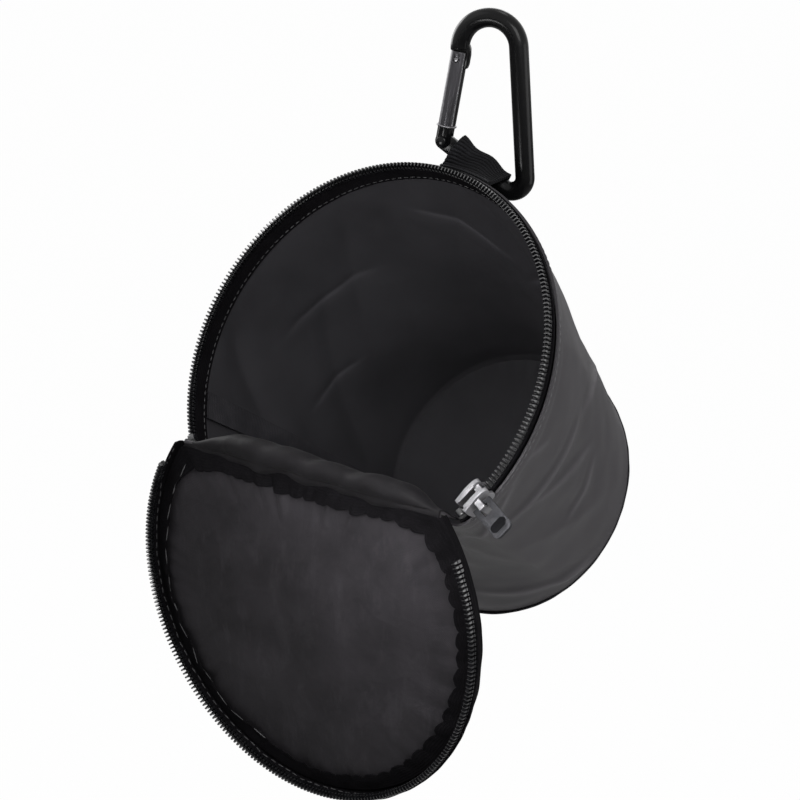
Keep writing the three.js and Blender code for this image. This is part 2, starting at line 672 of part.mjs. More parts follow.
// The gate's spring, one coil between its lug and the end of the bore. It prints its least gap to itself.
function gateSpring() {
  const curve = new Coil();
  const steps = SPRING_TURNS * 8;
  const points = curve.getPoints(steps);
  let least = Infinity;
  for (let i = 0; i < points.length; i++) {
    for (let j = i + 5; j < points.length; j++) {
      least = Math.min(least, points[i].distanceTo(points[j]) - SPRING_WIRE);
    }
  }
  console.log(`gate_spring: least gap to itself ${least.toFixed(2)} mm`);
  const wire = new THREE.ExtrudeGeometry(circle(SPRING_WIRE / 2), {
    steps,
    extrudePath: curve,
    curveSegments: 3,
  });
  return wire.translate(0, 0, LUG_RADIUS + CLEAR + SPRING_WIRE / 2);
}

// The webbing runs from the hem round the carabiner's bar and back, drawn tight at every point of its width.
function hangLoop(barMiddle, barWay, up) {
  const rise = up.clone().addScaledVector(barWay, -up.dot(barWay)).normalize();
  const front = new THREE.Vector3().crossVectors(barWay, rise);
  const ply = LOOP_THICKNESS / 2;
  const round = ROD_RADIUS + CLEAR + ply;
  const columns = 5;
  const wrapSteps = 10;
  const hemTop = -RIM_DROP - 2 * CLEAR;
  const hemFoot = hemTop - LOOP_PATCH;

  // Side is 1 for the tangent on the front of the bar and -1 for the one behind it.
  const tangent = (point, centre, side) => {
    const away = point.clone().sub(centre);
    const [x, y] = [away.dot(front), away.dot(rise)];
    return Math.atan2(y, x) + side * Math.acos(round / Math.hypot(x, y));
  };
  const column = (across) => {
    const angle = radians(LOOP_ANGLE) + across / MOUTH_RADIUS;
    const centre = barMiddle.clone().addScaledVector(barWay, across);
    const layer = (z, gap) => wallPoint(angle, z, -gap);
    const low = CLEAR + ply;
    const high = low + LOOP_THICKNESS + CLEAR;
    const start = layer(hemFoot, low);
    const finish = layer(hemFoot + 2 * CLEAR + LOOP_THICKNESS, high);
    let from = tangent(start, centre, -1);
    let to = tangent(finish, centre, 1);
    while (to > Math.PI / 2) to -= 2 * Math.PI;
    while (from < Math.PI / 2) from += 2 * Math.PI;
    const path = [layer(hemTop, low), start];
    for (let i = 0; i <= wrapSteps; i++) {
      const turn = from + ((to - from) * i) / wrapSteps;
      const spoke = front.clone().multiplyScalar(Math.cos(turn)).addScaledVector(rise, Math.sin(turn));
      path.push(centre.clone().addScaledVector(spoke, round));
    }
    path.push(finish, layer(hemTop, high));
    return path;
  };
  const paths = Array.from({ length: columns }, (_, j) => column(LOOP_WIDTH * (j / (columns - 1) - 0.5)));
  const middle = paths[0].map((_, i) => paths.map((path) => path[i]));
  const offset = (side) =>
    middle.map((row, i) =>
      row.map((point, j) => {
        const before = middle[Math.max(0, i - 1)][j];
        const after = middle[Math.min(middle.length - 1, i + 1)][j];
        const along = after.clone().sub(before).normalize();
        const width = row[Math.min(columns - 1, j + 1)].clone().sub(row[Math.max(0, j - 1)]);
        const normal = new THREE.Vector3().crossVectors(along, width).normalize();
        return point.clone().addScaledVector(normal, side * ply);
      }),
    );
  return slab(offset(1), offset(-1));
}

// Assembly
const root = new THREE.Group();

const carabiner = new THREE.Group();
carabiner.name = "carabiner";
carabiner.rotation.z = radians(CARABINER_YAW);
root.add(carabiner);
carabiner.add(piece("carabiner_body", carabinerBody(), BLACK_GLOSS));

const gate = new THREE.Group();
gate.name = "gate";
gate.position.copy(hook.pivot);
gate.rotation.y = gateLean;
carabiner.add(gate);
gate.add(piece("carabiner_gate", carabinerGate(), GATE_METAL));
gate.add(piece("gate_spring", gateSpring(), SILVER));
const latch = piece("latch_pin", latchPin(), GATE_METAL);
latch.position.z = gateReach - LATCH_DROP;
gate.add(latch);
const rivet = piece("gate_rivet", gateRivet(), GATE_METAL);
rivet.position.copy(hook.pivot);
carabiner.add(rivet);

const bag = new THREE.Group();
bag.name = "bag";
bag.rotation.x = radians(90 - MOUTH_TILT);
root.add(bag);
root.updateMatrixWorld(true);
const barInBag = mouthPoint(radians(LOOP_ANGLE), MOUTH_RADIUS + BAR_RISE, -BAR_SETBACK);
const barInWorld = hook.barMiddle.clone().applyMatrix4(carabiner.matrixWorld);
bag.position.copy(barInWorld).sub(barInBag.clone().applyQuaternion(bag.quaternion));
const toBag = bag.quaternion.clone().invert();
const barWay = hook.barWay.clone().negate().applyQuaternion(carabiner.quaternion).applyQuaternion(toBag);
const upInBag = new THREE.Vector3(0, 0, 1).applyQuaternion(toBag);

const chainCount = Math.floor((2 * zipCorner.angle * MOUTH_RADIUS) / TOOTH_PITCH);
const toothHalf = (TOOTH_PITCH / 2 - CLEAR) / 2;
const chainEnd = (((chainCount - 1) / 2) * TOOTH_PITCH + toothHalf) / MOUTH_RADIUS;
const sliderAngle = chainEnd - (SLIDER_LENGTH / 2 + 2 * CLEAR) / MOUTH_RADIUS;
const lidTeethLost = 2 * Math.ceil((SLIDER_LENGTH + 4 * CLEAR) / TOOTH_PITCH) + 1; // room for the slider at both ends

bag.add(piece("side_panel", sidePanel(), GREY_FABRIC));
bag.add(piece("side_seam", sideSeam(), BLACK_TAPE));
bag.add(piece("base_panel", basePanel(), GREY_FABRIC));
bag.add(piece("base_binding", baseBinding(), BLACK_TAPE));
bag.add(piece("mouth_tape", mouthTape(), BLACK_TAPE));
bag.add(piece("mouth_teeth", chain(-1, chainCount, 0), BLACK_TEETH));
bag.add(piece("zip_stop_right", zipStop(1), BLACK_TEETH));
bag.add(piece("zip_stop_left", zipStop(-1), BLACK_TEETH));
bag.add(piece("hinge_band", hingeBand(), GREY_FABRIC));
bag.add(piece("hang_loop", hangLoop(barInBag, barWay, upInBag), BLACK_TAPE));

const lid = new THREE.Group();
lid.name = "lid";
lid.position.set(0, -HINGE_DROP, LID_HEIGHT);
lid.rotation.x = radians(LID_OPENING);
bag.add(lid);
const lidClosed = new THREE.Group(); // the lid as it lies when closed
lidClosed.position.copy(lid.position).negate();
lid.add(lidClosed);
lidClosed.add(piece("lid_panel", lidPanel(), GREY_FABRIC));
lidClosed.add(piece("lid_seam", lidSeam(), BLACK_TAPE));
lidClosed.add(piece("lid_tape", lidTape(), BLACK_TAPE));
lidClosed.add(piece("lid_teeth", chain(1, chainCount - lidTeethLost, 0), BLACK_TEETH));

const slider = new THREE.Group();
slider.name = "slider";
const out = mouthPoint(sliderAngle, 1, 0);
const alongRim = new THREE.Vector3(-out.y, out.x, 0); // the way the slider closes the zip
slider.position.copy(out).multiplyScalar(MOUTH_RADIUS);
slider.setRotationFromMatrix(new THREE.Matrix4().makeBasis(alongRim, new THREE.Vector3(0, 0, 1), out));
bag.add(slider);
slider.add(piece("slider_body", sliderBody(), SILVER));

const tab = new THREE.Group();
tab.name = "pull_tab_pivot";
tab.position.set(0, 0, PIVOT_HEIGHT);
tab.rotation.x = Math.PI - radians(TAB_LIFT);
slider.add(tab);
tab.add(piece("pull_tab", pullTab(), TAB_METAL));

export default root;
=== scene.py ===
"""Dresses the packed peg bag: cloth, zip, webbing and carabiner, with a plain studio stage."""
import json
from math import acos, atan2, cos, degrees, exp, hypot, pi, radians, sin, sqrt

import bpy
from bpy.props import FloatProperty, FloatVectorProperty, IntProperty, PointerProperty
from mathutils import Matrix, Vector, noise
from mathutils.bvhtree import BVHTree


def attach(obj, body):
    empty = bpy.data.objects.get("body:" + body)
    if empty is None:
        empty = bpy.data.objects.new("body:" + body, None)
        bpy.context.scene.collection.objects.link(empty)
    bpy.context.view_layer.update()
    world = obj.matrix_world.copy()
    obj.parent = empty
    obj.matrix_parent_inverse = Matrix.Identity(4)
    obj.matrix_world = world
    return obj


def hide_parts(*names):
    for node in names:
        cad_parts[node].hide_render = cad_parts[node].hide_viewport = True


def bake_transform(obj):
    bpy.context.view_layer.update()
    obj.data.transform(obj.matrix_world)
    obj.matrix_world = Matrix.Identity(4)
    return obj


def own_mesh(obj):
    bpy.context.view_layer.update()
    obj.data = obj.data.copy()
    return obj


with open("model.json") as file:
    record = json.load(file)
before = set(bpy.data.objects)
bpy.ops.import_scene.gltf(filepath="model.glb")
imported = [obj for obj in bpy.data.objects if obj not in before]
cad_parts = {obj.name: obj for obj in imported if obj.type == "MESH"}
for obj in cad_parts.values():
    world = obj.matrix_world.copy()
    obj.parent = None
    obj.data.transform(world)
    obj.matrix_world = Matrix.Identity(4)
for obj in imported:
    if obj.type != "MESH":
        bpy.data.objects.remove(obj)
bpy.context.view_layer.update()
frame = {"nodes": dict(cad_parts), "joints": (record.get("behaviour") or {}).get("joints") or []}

bl_info = {
    "name": "Peg Bag",
    "version": (1, 0, 0),
    "blender": (4, 5, 0),
    "location": "View3D > Sidebar > Peg Bag",
    "description": "Cloth, zip, webbing and carabiner of a hanging peg bag",
    "category": "Add Mesh",
}

JOINTS = {joint["name"]: joint for joint in frame["joints"]}


# Places taken from the frame


def joint_place(name):
    """A joint's point and its axis."""
    return Vector(JOINTS[name]["pos_m"]), Vector(JOINTS[name]["axis"]).normalized()


MOUTH_MIDDLE, MOUTH_OUT = joint_place("slider_run")
HINGE, ACROSS = joint_place("lid_hinge")
BAR_MIDDLE, BAR_WAY = joint_place("bag_swing")
GATE_PIVOT, CARABINER_SIDE = joint_place("gate_pivot")
MOUTH_UP = MOUTH_OUT.cross(ACROSS)

# The mouth's own frame: x along the hinge, y up the mouth, z out of it
MOUTH = Matrix.Translation(MOUTH_MIDDLE) @ Matrix((ACROSS, MOUTH_UP, MOUTH_OUT)).transposed().to_4x4()
HINGE_IN_MOUTH = MOUTH.inverted() @ HINGE
MILLIMETRES = 1000
LID_OPENING = -radians(JOINTS["lid_hinge"]["range_deg"][0])

# The lid, drawn as it lies when closed, turned open about its hinge
LID = (
    Matrix.Translation(HINGE)
    @ Matrix.Rotation(LID_OPENING, 4, ACROSS)
    @ Matrix.Translation(-HINGE)
    @ MOUTH
)
CARABINER_WAY = CARABINER_SIDE.cross(Vector((0, 0, 1)))
CARABINER = Matrix((CARABINER_WAY, CARABINER_SIDE, Vector((0, 0, 1)))).transposed().to_4x4()


# Sizes and colours that a user would change


def length(name, description, millimetres):
    """A size in metres, given here in millimetres."""
    words = {"name": name, "description": description}
    return FloatProperty(default=millimetres / MILLIMETRES, unit="LENGTH", precision=5, **words)


def angle(name, description, value):
    """An angle in radians, given here in degrees."""
    words = {"name": name, "description": description}
    return FloatProperty(default=radians(value), subtype="ANGLE", **words)


def colour(name, description, red, green, blue):
    """A colour given as it looks on a screen, from 0 to 255."""

    def linear(part):
        share = part / 255
        return share / 12.92 if share <= 0.04045 else ((share + 0.055) / 1.055) ** 2.4

    words = {"name": name, "description": description}
    default = (linear(red), linear(green), linear(blue), 1.0)
    return FloatVectorProperty(default=default, size=4, subtype="COLOR", min=0, max=1, **words)


class PEGBAG_PG_bag(bpy.types.PropertyGroup):
    """The fabric bag."""

    mouth_radius: length("Mouth radius", "Middle of the mouth to the zip's teeth", 75)
    hinge_drop: length(
        "Hinge drop",
        "Middle of the mouth down to the straight hinge edge",
        -MILLIMETRES * HINGE_IN_MOUTH.y,
    )
    corner: length("Mouth corner", "Round between the zip and the hinge edge", 5)
    base_radius: length("Base radius", "Radius of the round base", 54.5)
    depth: length("Depth", "Zip to base", 122)
    base_sag: length("Base sag", "How far the base hangs below the mouth's axis", 13)
    hem_drop: length("Hem drop", "Zip's middle to the hem of the wall", 4.8)
    fabric: length("Fabric", "Thickness of the wall with its lining", 0.9)
    wall_out: length("Wall offset", "Zip's surface to the outside of the wall", 1.9)
    fold: length("Fold height", "Height of the wall's larger folds", 2.4)
    binding_width: length("Binding width", "Width of the binding up the wall", 2.8)


class PEGBAG_PG_zip(bpy.types.PropertyGroup):
    """The zip round the mouth."""

    pitch: length("Tooth pitch", "Distance from one tooth to the next", 1.55)
    tooth: length("Tooth width", "Width of a tooth along the zip", 0.95)
    thickness: length("Chain thickness", "Thickness of the teeth across the tape", 2.2)
    reach: length("Tooth reach", "How far a tooth passes the zip's middle", 0.7)
    half: length("Chain half width", "Zip's middle to the back of the teeth", 2.4)
    tape: length("Tape thickness", "Thickness of the woven tape", 0.7)
    tape_foot: length("Tape foot", "Zip's middle to the sewn edge of the bag's tape", 9)
    lid_shortfall: angle("Lid shortfall", "How far the lid's teeth end before the bag's", 5)
    slider_room: angle("Slider room", "How far they end before the bag's at the slider's end", 9.6)


class PEGBAG_PG_lid(bpy.types.PropertyGroup):
    """The lid that hangs open."""

    height: length("Lid height", "Zip's middle to the lid's panel", MILLIMETRES * HINGE_IN_MOUTH.z)
    fabric: length("Lid fabric", "Thickness of the panel with its lining", 0.9)
    edge: length("Lid edge", "Inset of the panel from the zip", 1.5)
    dome: length("Lid dome", "How far the panel swells to its inside", 5)
    seam_width: length("Seam width", "Width of the frayed seam allowance", 6)
    seam_corner: length("Seam corner", "How much wider the seam allowance is at the upper corners", 4)
    seam_wave: length("Seam wave", "Depth of the waves along the seam allowance", 1.1)
    seam_waves: IntProperty(
        name="Seam waves", description="Waves along the seam allowance", default=58, min=8
    )
    roll: length("Hinge roll", "Height of the soft roll of fabric over the hinge", 7.6)


class PEGBAG_PG_loop(bpy.types.PropertyGroup):
    """The webbing loop on the carabiner's bar."""

    place: angle("Loop place", "Angle from the top of the mouth", 10.5)
    width: length("Webbing width", "Width of the webbing", 22.4)
    thickness: length("Webbing thickness", "Thickness of the webbing", 1.4)
    patch: length("Sewn length", "Length of webbing sewn down on the hem", 8)
    gap: length("Gap", "Gap kept between neighbouring pieces", 0.3)


class PEGBAG_PG_carabiner(bpy.types.PropertyGroup):
    """The carabiner that the bag hangs from."""

    rod: length("Rod radius", "Radius of the bent rod", 3.5)
    crown: length("Crown radius", "Radius of the crown's bend", 10.9)
    spine: length("Spine", "Straight length of the spine", 46.5)
    spine_lean: angle("Spine lean", "Lean of the spine", 4.4)
    heel: length("Heel radius", "Radius of the bend below the spine", 5)
    bar: length("Bar", "Straight length of the bar", 24)
    bar_slope: angle("Bar slope", "Slope of the bar", 35)
    nose_drop: angle("Nose drop", "How far the crown's bend runs on at the nose", 4)


class PEGBAG_PG_colours(bpy.types.PropertyGroup):
    """The colours of the bag's materials."""

    fabric: colour("Fabric", "Satin fabric of the wall and the lid's outside", 68, 66, 69)
    lining: colour("Lining", "Charcoal lining inside the bag", 54, 53, 56)
    lid_lining: colour("Lid lining", "Charcoal lining of the lid", 47, 45, 48)
    tape: colour("Tape", "Woven zip tape and seam allowance", 17, 16, 18)
    binding: colour("Binding", "Tape round the base and over the inside seam", 54, 53, 56)
    webbing: colour("Webbing", "Ribbed webbing of the loop", 22, 22, 24)
    teeth: colour("Teeth", "Moulded teeth of the zip", 18, 18, 20)
    thread: colour("Thread", "Sewing thread", 92, 91, 94)
    black_metal: colour("Black metal", "Coated body of the carabiner", 14, 14, 15)
    gate_metal: colour("Gate metal", "Dark metal of the carabiner's gate", 68, 67, 70)
    slider: colour("Slider", "Silver slider", 150, 149, 152)
    tab: colour("Tab", "Dark pull tab", 62, 62, 65)
    floor: colour("Floor", "Pale floor of the stage", 255, 255, 255)


# Shader maths


class Value:
    """One output of a node, with arithmetic that adds Math nodes."""

    def __init__(self, nodes, socket):
        self.nodes = nodes
        self.socket = socket

    def maths(self, operation, first, second=0.0):
        return self.nodes.node("ShaderNodeMath", {"operation": operation}, {0: first, 1: second})

    def __add__(self, other):
        return self.maths("ADD", self, other)

    def __radd__(self, other):
        return self.maths("ADD", other, self)

    def __sub__(self, other):
        return self.maths("SUBTRACT", self, other)

    def __rsub__(self, other):
        return self.maths("SUBTRACT", other, self)

    def __mul__(self, other):
        return self.maths("MULTIPLY", self, other)

    def __rmul__(self, other):
        return self.maths("MULTIPLY", other, self)

    def waves(self, pitch):
        """A wave along this value, from -1 to 1, with the given pitch."""
        return self.maths("SINE", self * (2 * pi / pitch))

    def between(self, low, high):
        """From 0 at low to 1 at high, held outside."""
        inputs = {"Value": self, "From Min": low, "From Max": high}
        return self.nodes.node("ShaderNodeMapRange", {"clamp": True}, inputs)


class Nodes:
    """A tree of nodes, and the one way to add to it."""

    def __init__(self, tree):
        self.tree = tree

    def node(self, kind, options=None, inputs=None, output=0):
        """Adds a node, sets its options and inputs, and gives one of its outputs."""
        made = self.tree.nodes.new(kind)
        for name, value in (options or {}).items():
            setattr(made, name, value)
        for name, value in (inputs or {}).items():
            self.feed(made.inputs[name], value)
        return Value(self, made.outputs[output])

    def feed(self, socket, value):
        if isinstance(value, Value):
            self.tree.links.new(value.socket, socket)
        else:
            socket.default_value = value

    def rays(self, *kinds):
        """1 for a ray of one of these kinds and 0 for any other."""
        outputs = self.node("ShaderNodeLightPath").socket.node.outputs
        seen, *others = [Value(self, outputs[f"Is {kind} Ray"]) for kind in kinds]
        for other in others:
            seen = seen.maths("MAXIMUM", seen, other)
        return seen


class Finish(Nodes):
    """A material and its nodes."""

    def __init__(self, name):
        self.material = bpy.data.materials.new(name)
        self.material.use_nodes = True
        super().__init__(self.material.node_tree)
        self.shader = self.tree.nodes["Principled BSDF"]

    def set(self, **values):
        """Sets the shader's sockets, named with underscores for spaces."""
        for name, value in values.items():
            self.feed(self.shader.inputs[name.replace("_", " ")], value)

    def place(self):
        """Object coordinates, in metres."""
        return self.node("ShaderNodeTexCoord", output="Object")

    def cloth_place(self):
        """The piece's own map, in metres along and across the cloth."""
        separate = self.node("ShaderNodeSeparateXYZ", inputs={"Vector": self.node("ShaderNodeUVMap")})
        outputs = separate.socket.node.outputs
        return Value(self, outputs["X"]), Value(self, outputs["Y"])

    def weave(self, pitch):
        """Threads that cross at a pitch in metres, from -1 to 1."""
        along, across = self.cloth_place()
        return along.waves(pitch) * across.waves(pitch)

    def noise(self, scale, detail=3.0, roughness=0.55, stretch=None):
        """Noise over the object, from 0 to 1. Scale is in waves to the metre."""
        place = self.place()
        if stretch:
            place = self.node("ShaderNodeMapping", inputs={"Vector": place, "Scale": stretch})
        inputs = {"Vector": place, "Scale": scale, "Detail": detail, "Roughness": roughness}
        return self.node("ShaderNodeTexNoise", inputs=inputs)

    def mix(self, share, first, second):
        """A colour between two others."""
        made = self.node("ShaderNodeMix", {"data_type": "RGBA"}, output=2)
        inputs = made.socket.node.inputs
        factor, colour_a, colour_b = 0, 6, 7
        for index, value in ((factor, share), (colour_a, first), (colour_b, second)):
            self.feed(inputs[index], value)
        return made

    def bump(self, height, depth, strength):
        """Small relief of the given depth in metres."""
        inputs = {"Height": height, "Distance": depth, "Strength": strength}
        self.set(Normal=self.node("ShaderNodeBump", inputs=inputs))


def shade(tint, share):
    """A lighter or darker copy of a colour."""
    return tuple(min(1.0, part * share) for part in tint[:3]) + (1.0,)


# Materials

# Pitches of the ribs of tape and webbing, in metres
TAPE_RIB = 0.0009
WEBBING_RIB = 0.0015


def satin_fabric(name, tint, mottle, gloss):
    """Plain woven cloth with a soft sheen. Mottle is the depth of its uneven shade."""
    finish = Finish(name)
    weave = finish.weave(pitch=0.0007)
    patches = finish.noise(scale=26, detail=4, roughness=0.6).between(0.32, 0.68)
    specks = finish.noise(scale=1400, detail=2)
    share = patches * 0.75 + specks * 0.25
    base = finish.mix(share, shade(tint, 1 - mottle), shade(tint, 1 + mottle))
    # The wear attribute lightens the fold crests: crease wear along with a painted sheen of the lit
    # ridges.
    crest_sheen_and_wear = finish.node("ShaderNodeAttribute", {"attribute_name": "wear"}, output="Fac")
    base = finish.mix(crest_sheen_and_wear * (patches * 0.4 + 0.5), base, shade(tint, 2.3))
    finish.set(Base_Color=base, Roughness=gloss + weave * 0.04 + patches * 0.08)
    finish.set(Sheen_Weight=0.02, Sheen_Roughness=0.4, Specular_IOR_Level=0.18)
    finish.bump(weave * 0.6 + specks * 0.4, depth=0.00006, strength=0.5)
    return finish.material


def crumpled_lining(name, tint):
    """Thin lining that has been creased and smoothed out again."""
    finish = Finish(name)
    weave = finish.weave(pitch=0.0008)
    cloud = finish.noise(scale=38, detail=7, roughness=0.62).between(0.3, 0.7)
    rubs = finish.noise(scale=160, detail=5, roughness=0.7, stretch=(1, 1, 0.35)).between(0.52, 0.74)
    base = finish.mix(cloud, shade(tint, 0.58), shade(tint, 1.22))
    base = finish.mix(rubs * 0.5, base, shade(tint, 1.7))
    inputs = {"Vector": finish.place(), "Scale": 95.0, "Randomness": 1.0}
    cells = finish.node("ShaderNodeTexVoronoi", {"feature": "DISTANCE_TO_EDGE"}, inputs)
    creases = 1 - cells.between(0.0, 0.16)
    finish.set(Base_Color=base, Roughness=0.52 + cloud * 0.16)
    finish.set(Sheen_Weight=0.02, Sheen_Roughness=0.4, Specular_IOR_Level=0.1)
    finish.bump(cloud * 0.6 + creases * 0.15 + weave * 0.05, depth=0.0007, strength=0.55)
    return finish.material


def woven_tape(name, tint, pitch):
    """Tape with fine ribs along its length, each rib a row of short stitches."""
    finish = Finish(name)
    along, across = finish.cloth_place()
    ribs = across.waves(pitch)
    knots = along.waves(pitch * 0.8)
    wear = finish.noise(scale=120, detail=4).between(0.35, 0.7)
    # Colour follows the uneven wear, and is lighter on the rib crests and darker between them, a
    # painted shade of the grooves.
    base = finish.mix(wear * 0.6 + ribs * 0.2, shade(tint, 0.8), shade(tint, 1.5))
    finish.set(Base_Color=base, Roughness=0.78 + ribs * 0.06)
    finish.set(Specular_IOR_Level=0.03)
    finish.bump(ribs * 0.5 + ribs * knots * 0.5, depth=0.00012, strength=0.7)
    return finish.material


def ribbed_webbing(name, tint, rib):
    """Heavy webbing with ribs across it and a woven edge."""
    finish = Finish(name)
    along, across = finish.cloth_place()
    ribs = along.waves(rib)
    yarns = across.waves(rib * 0.55)
    wear = finish.noise(scale=200, detail=4).between(0.4, 0.7)
    # Colour is lighter on the rib crests and darker between them, a painted shade of the grooves, over
    # the uneven wear.
    base = finish.mix(ribs * 0.4 + wear * 0.3 + 0.35, shade(tint, 0.4), shade(tint, 2.2))
    finish.set(Base_Color=base, Roughness=0.7 + yarns * 0.05)
    finish.set(Specular_IOR_Level=0.1)
    finish.bump(ribs * 0.75 + yarns * 0.25, depth=0.0003, strength=0.8)
    return finish.material


def moulded_plastic(name, tint, rough, shine):
    """Hard plastic with a fine moulded skin."""
    finish = Finish(name)
    skin = finish.noise(scale=1500, detail=2)
    wear = finish.noise(scale=240, detail=3).between(0.45, 0.75)
    finish.set(Base_Color=finish.mix(wear, tint, shade(tint, 1.8)), Roughness=rough + wear * 0.14)
    finish.set(Specular_IOR_Level=shine)
    finish.bump(skin, depth=0.00003, strength=0.4)
    return finish.material


def coated_metal(name, tint):
    """Metal under a smooth black coat, with faint handling marks."""
    finish = Finish(name)
    marks = finish.noise(scale=420, detail=5, roughness=0.7, stretch=(1, 1, 0.2)).between(0.55, 0.8)
    cloud = finish.noise(scale=60, detail=3)
    base = finish.mix(marks * 0.5, tint, shade(tint, 2.6))
    finish.set(Base_Color=base, Roughness=0.2 + marks * 0.14 + cloud * 0.06)
    finish.set(Metallic=0.0, Specular_IOR_Level=0.12, Coat_Roughness=0.05, Coat_IOR=1.2)
    finish.set(Coat_Weight=0.4 - marks * 0.25)
    finish.bump(cloud, depth=0.00005, strength=0.3)
    return finish.material


def bare_metal(name, tint, rough, grain):
    """Cast or drawn metal. Grain is how deep its marks go."""
    finish = Finish(name)
    drawn = finish.noise(scale=300, detail=5, roughness=0.65, stretch=(1, 1, 0.25))
    pits = finish.noise(scale=900, detail=3).between(0.35, 0.75)
    finish.set(Base_Color=finish.mix(drawn.between(0.3, 0.7), shade(tint, 0.78), shade(tint, 1.12)))
    finish.set(Metallic=0.85, Roughness=rough + pits * 0.15)
    finish.bump(drawn * 0.6 + pits * 0.4, depth=grain, strength=0.6)
    return finish.material


def twisted_thread(name, tint):
    """Sewing thread, lighter along the twist."""
    finish = Finish(name)
    twist = finish.noise(scale=2600, detail=2).between(0.3, 0.7)
    base = finish.mix(twist, shade(tint, 0.7), shade(tint, 1.3))
    finish.set(Base_Color=base, Roughness=0.6 - twist * 0.1)
    finish.set(Sheen_Weight=0.2)
    finish.bump(twist, depth=0.00005, strength=0.6)
    return finish.material


# Modelling helpers

# Edges of cloth that are sharper than this, in degrees, stay sharp
CLOTH_LIMIT = 60


def deselect():
    if bpy.context.mode != "OBJECT":
        bpy.ops.object.mode_set(mode="OBJECT")
    bpy.ops.object.select_all(action="DESELECT")


def pick(piece):
    """Makes a piece the only one that is selected, and the active one."""
    deselect()
    bpy.context.view_layer.objects.active = piece
    piece.select_set(True)


def new_object(name, data):
    """Puts a new object with the given data in the scene."""
    made = bpy.data.objects.new(name, data)
    bpy.context.scene.collection.objects.link(made)
    return made


def in_edit_mode(piece, *steps):
    """Runs edit-mode steps on a whole piece."""
    pick(piece)
    bpy.ops.object.mode_set(mode="EDIT")
    bpy.ops.mesh.select_all(action="SELECT")
    for step in steps:
        step()
    bpy.ops.object.mode_set(mode="OBJECT")


def merge(distance=2e-6):
    bpy.ops.mesh.remove_doubles(threshold=distance)


def turn_outwards():
    bpy.ops.mesh.normals_make_consistent(inside=False)


def turn_over():
    bpy.ops.mesh.flip_normals()


def modify(piece, kind, **options):
    """Adds a modifier, sets it and applies it."""
    pick(piece)
    bpy.ops.object.modifier_add(type=kind)
    modifier = piece.modifiers[-1]
    for name, value in options.items():
        setattr(modifier, name, value)
    bpy.ops.object.modifier_apply(modifier=modifier.name)


def ease_edges(piece, width, limit, segments=2):
    """Bevels the edges that are sharper than a limit in degrees."""
    options = {"limit_method": "ANGLE", "angle_limit": radians(limit)}
    modify(piece, "BEVEL", width=width, segments=segments, **options)


def smooth(piece, limit):
    """Shades a piece smooth, apart from edges sharper than a limit in degrees."""
    pick(piece)
    bpy.ops.object.shade_smooth_by_angle(angle=radians(limit))


def cloth(name, place, size, columns, rows, matrix=MOUTH, flipped=False, wear=None):
    """A sheet with a map in metres. Place gives the point at a share along and a share across it.

    Wear, where given, is a list that place adds to, with how much each point is lightened: crease wear
    along with a painted sheen on fold crests.
    """
    deselect()
    bpy.ops.mesh.primitive_grid_add(x_subdivisions=columns, y_subdivisions=rows, size=2)
    piece = bpy.context.object
    piece.name = piece.data.name = name
    for corner in piece.data.uv_layers.active.data:
        corner.uv = (corner.uv.x * size[0], corner.uv.y * size[1])
    for vertex in piece.data.vertices:
        vertex.co = matrix @ place((vertex.co.x + 1) / 2, (vertex.co.y + 1) / 2)
    if wear:
        piece.data.attributes.new("wear", "FLOAT", "POINT").data.foreach_set("value", wear)
    in_edit_mode(piece, merge, *([turn_over] if flipped else []))
    return piece


def thicken(piece, thickness, offset=-1.0, back=0):
    """Gives a sheet its thickness and smooths it. Back chooses the material of its back."""
    options = {"thickness": thickness, "offset": offset, "material_offset": back}
    modify(piece, "SOLIDIFY", use_even_offset=False, **options)
    smooth(piece, CLOTH_LIMIT)


def dress(piece, body, slot, *materials, replaced=()):
    """Gives a piece its materials, its body and the nodes it stands for. Slot is not used."""
    for material in materials:
        piece.data.materials.append(material)
    if body:
        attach(piece, body)
    if replaced:
        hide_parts(*replaced)
    return piece


def copy_of_node(node, bevel, limit=35):
    """A smooth copy of a CAD node with its edges eased."""
    piece = new_object(node + "_finish", frame["nodes"][node].data.copy())
    piece.data.materials.clear()
    in_edit_mode(piece, lambda: merge(distance=1e-5))
    ease_edges(piece, bevel, limit)
    smooth(piece, limit)
    return piece


def repeated(name, model, matrices):
    """Copies of one small model, each with its own place, as one piece. The model is used up."""
    points = [vertex.co.copy() for vertex in model.data.vertices]
    faces = [tuple(face.vertices) for face in model.data.polygons]
    mesh = bpy.data.meshes.new(name)
    many_points = []
    many_faces = []
    for matrix in matrices:
        first = len(many_points)
        many_points += [matrix @ point for point in points]
        many_faces += [tuple(first + corner for corner in face) for face in faces]
    mesh.from_pydata(many_points, [], many_faces)
    bpy.data.objects.remove(model)
    return new_object(name, mesh)


def lerp(low, high, share):
    return low + (high - low) * share


def ease(share):
    """A smooth step from 0 to 1."""
    held = min(1.0, max(0.0, share))
    return held * held * (3 - 2 * held)


class Track:
    """A line of points that is read by the share of its length."""

    def __init__(self, points):
        self.points = points
        self.reach = [0.0]
        for before, after in zip(points, points[1:]):
            self.reach.append(self.reach[-1] + (after - before).length)
        self.length = self.reach[-1]

    def at(self, share):
        goal = min(1.0, max(0.0, share)) * self.length
        low, high = 0, len(self.reach) - 1
        while high - low > 1:
            middle = (low + high) // 2
            low, high = (middle, high) if self.reach[middle] <= goal else (low, middle)
        step = self.reach[high] - self.reach[low]
        return self.points[low].lerp(self.points[high], (goal - self.reach[low]) / step)


def corner_of(radius, drop, corner):
    """The middle of the mouth's right corner, and its angle from the top of the mouth."""
    x = sqrt((radius - corner) ** 2 - (drop - corner) ** 2)
    return x, corner - drop, atan2(x, corner - drop)


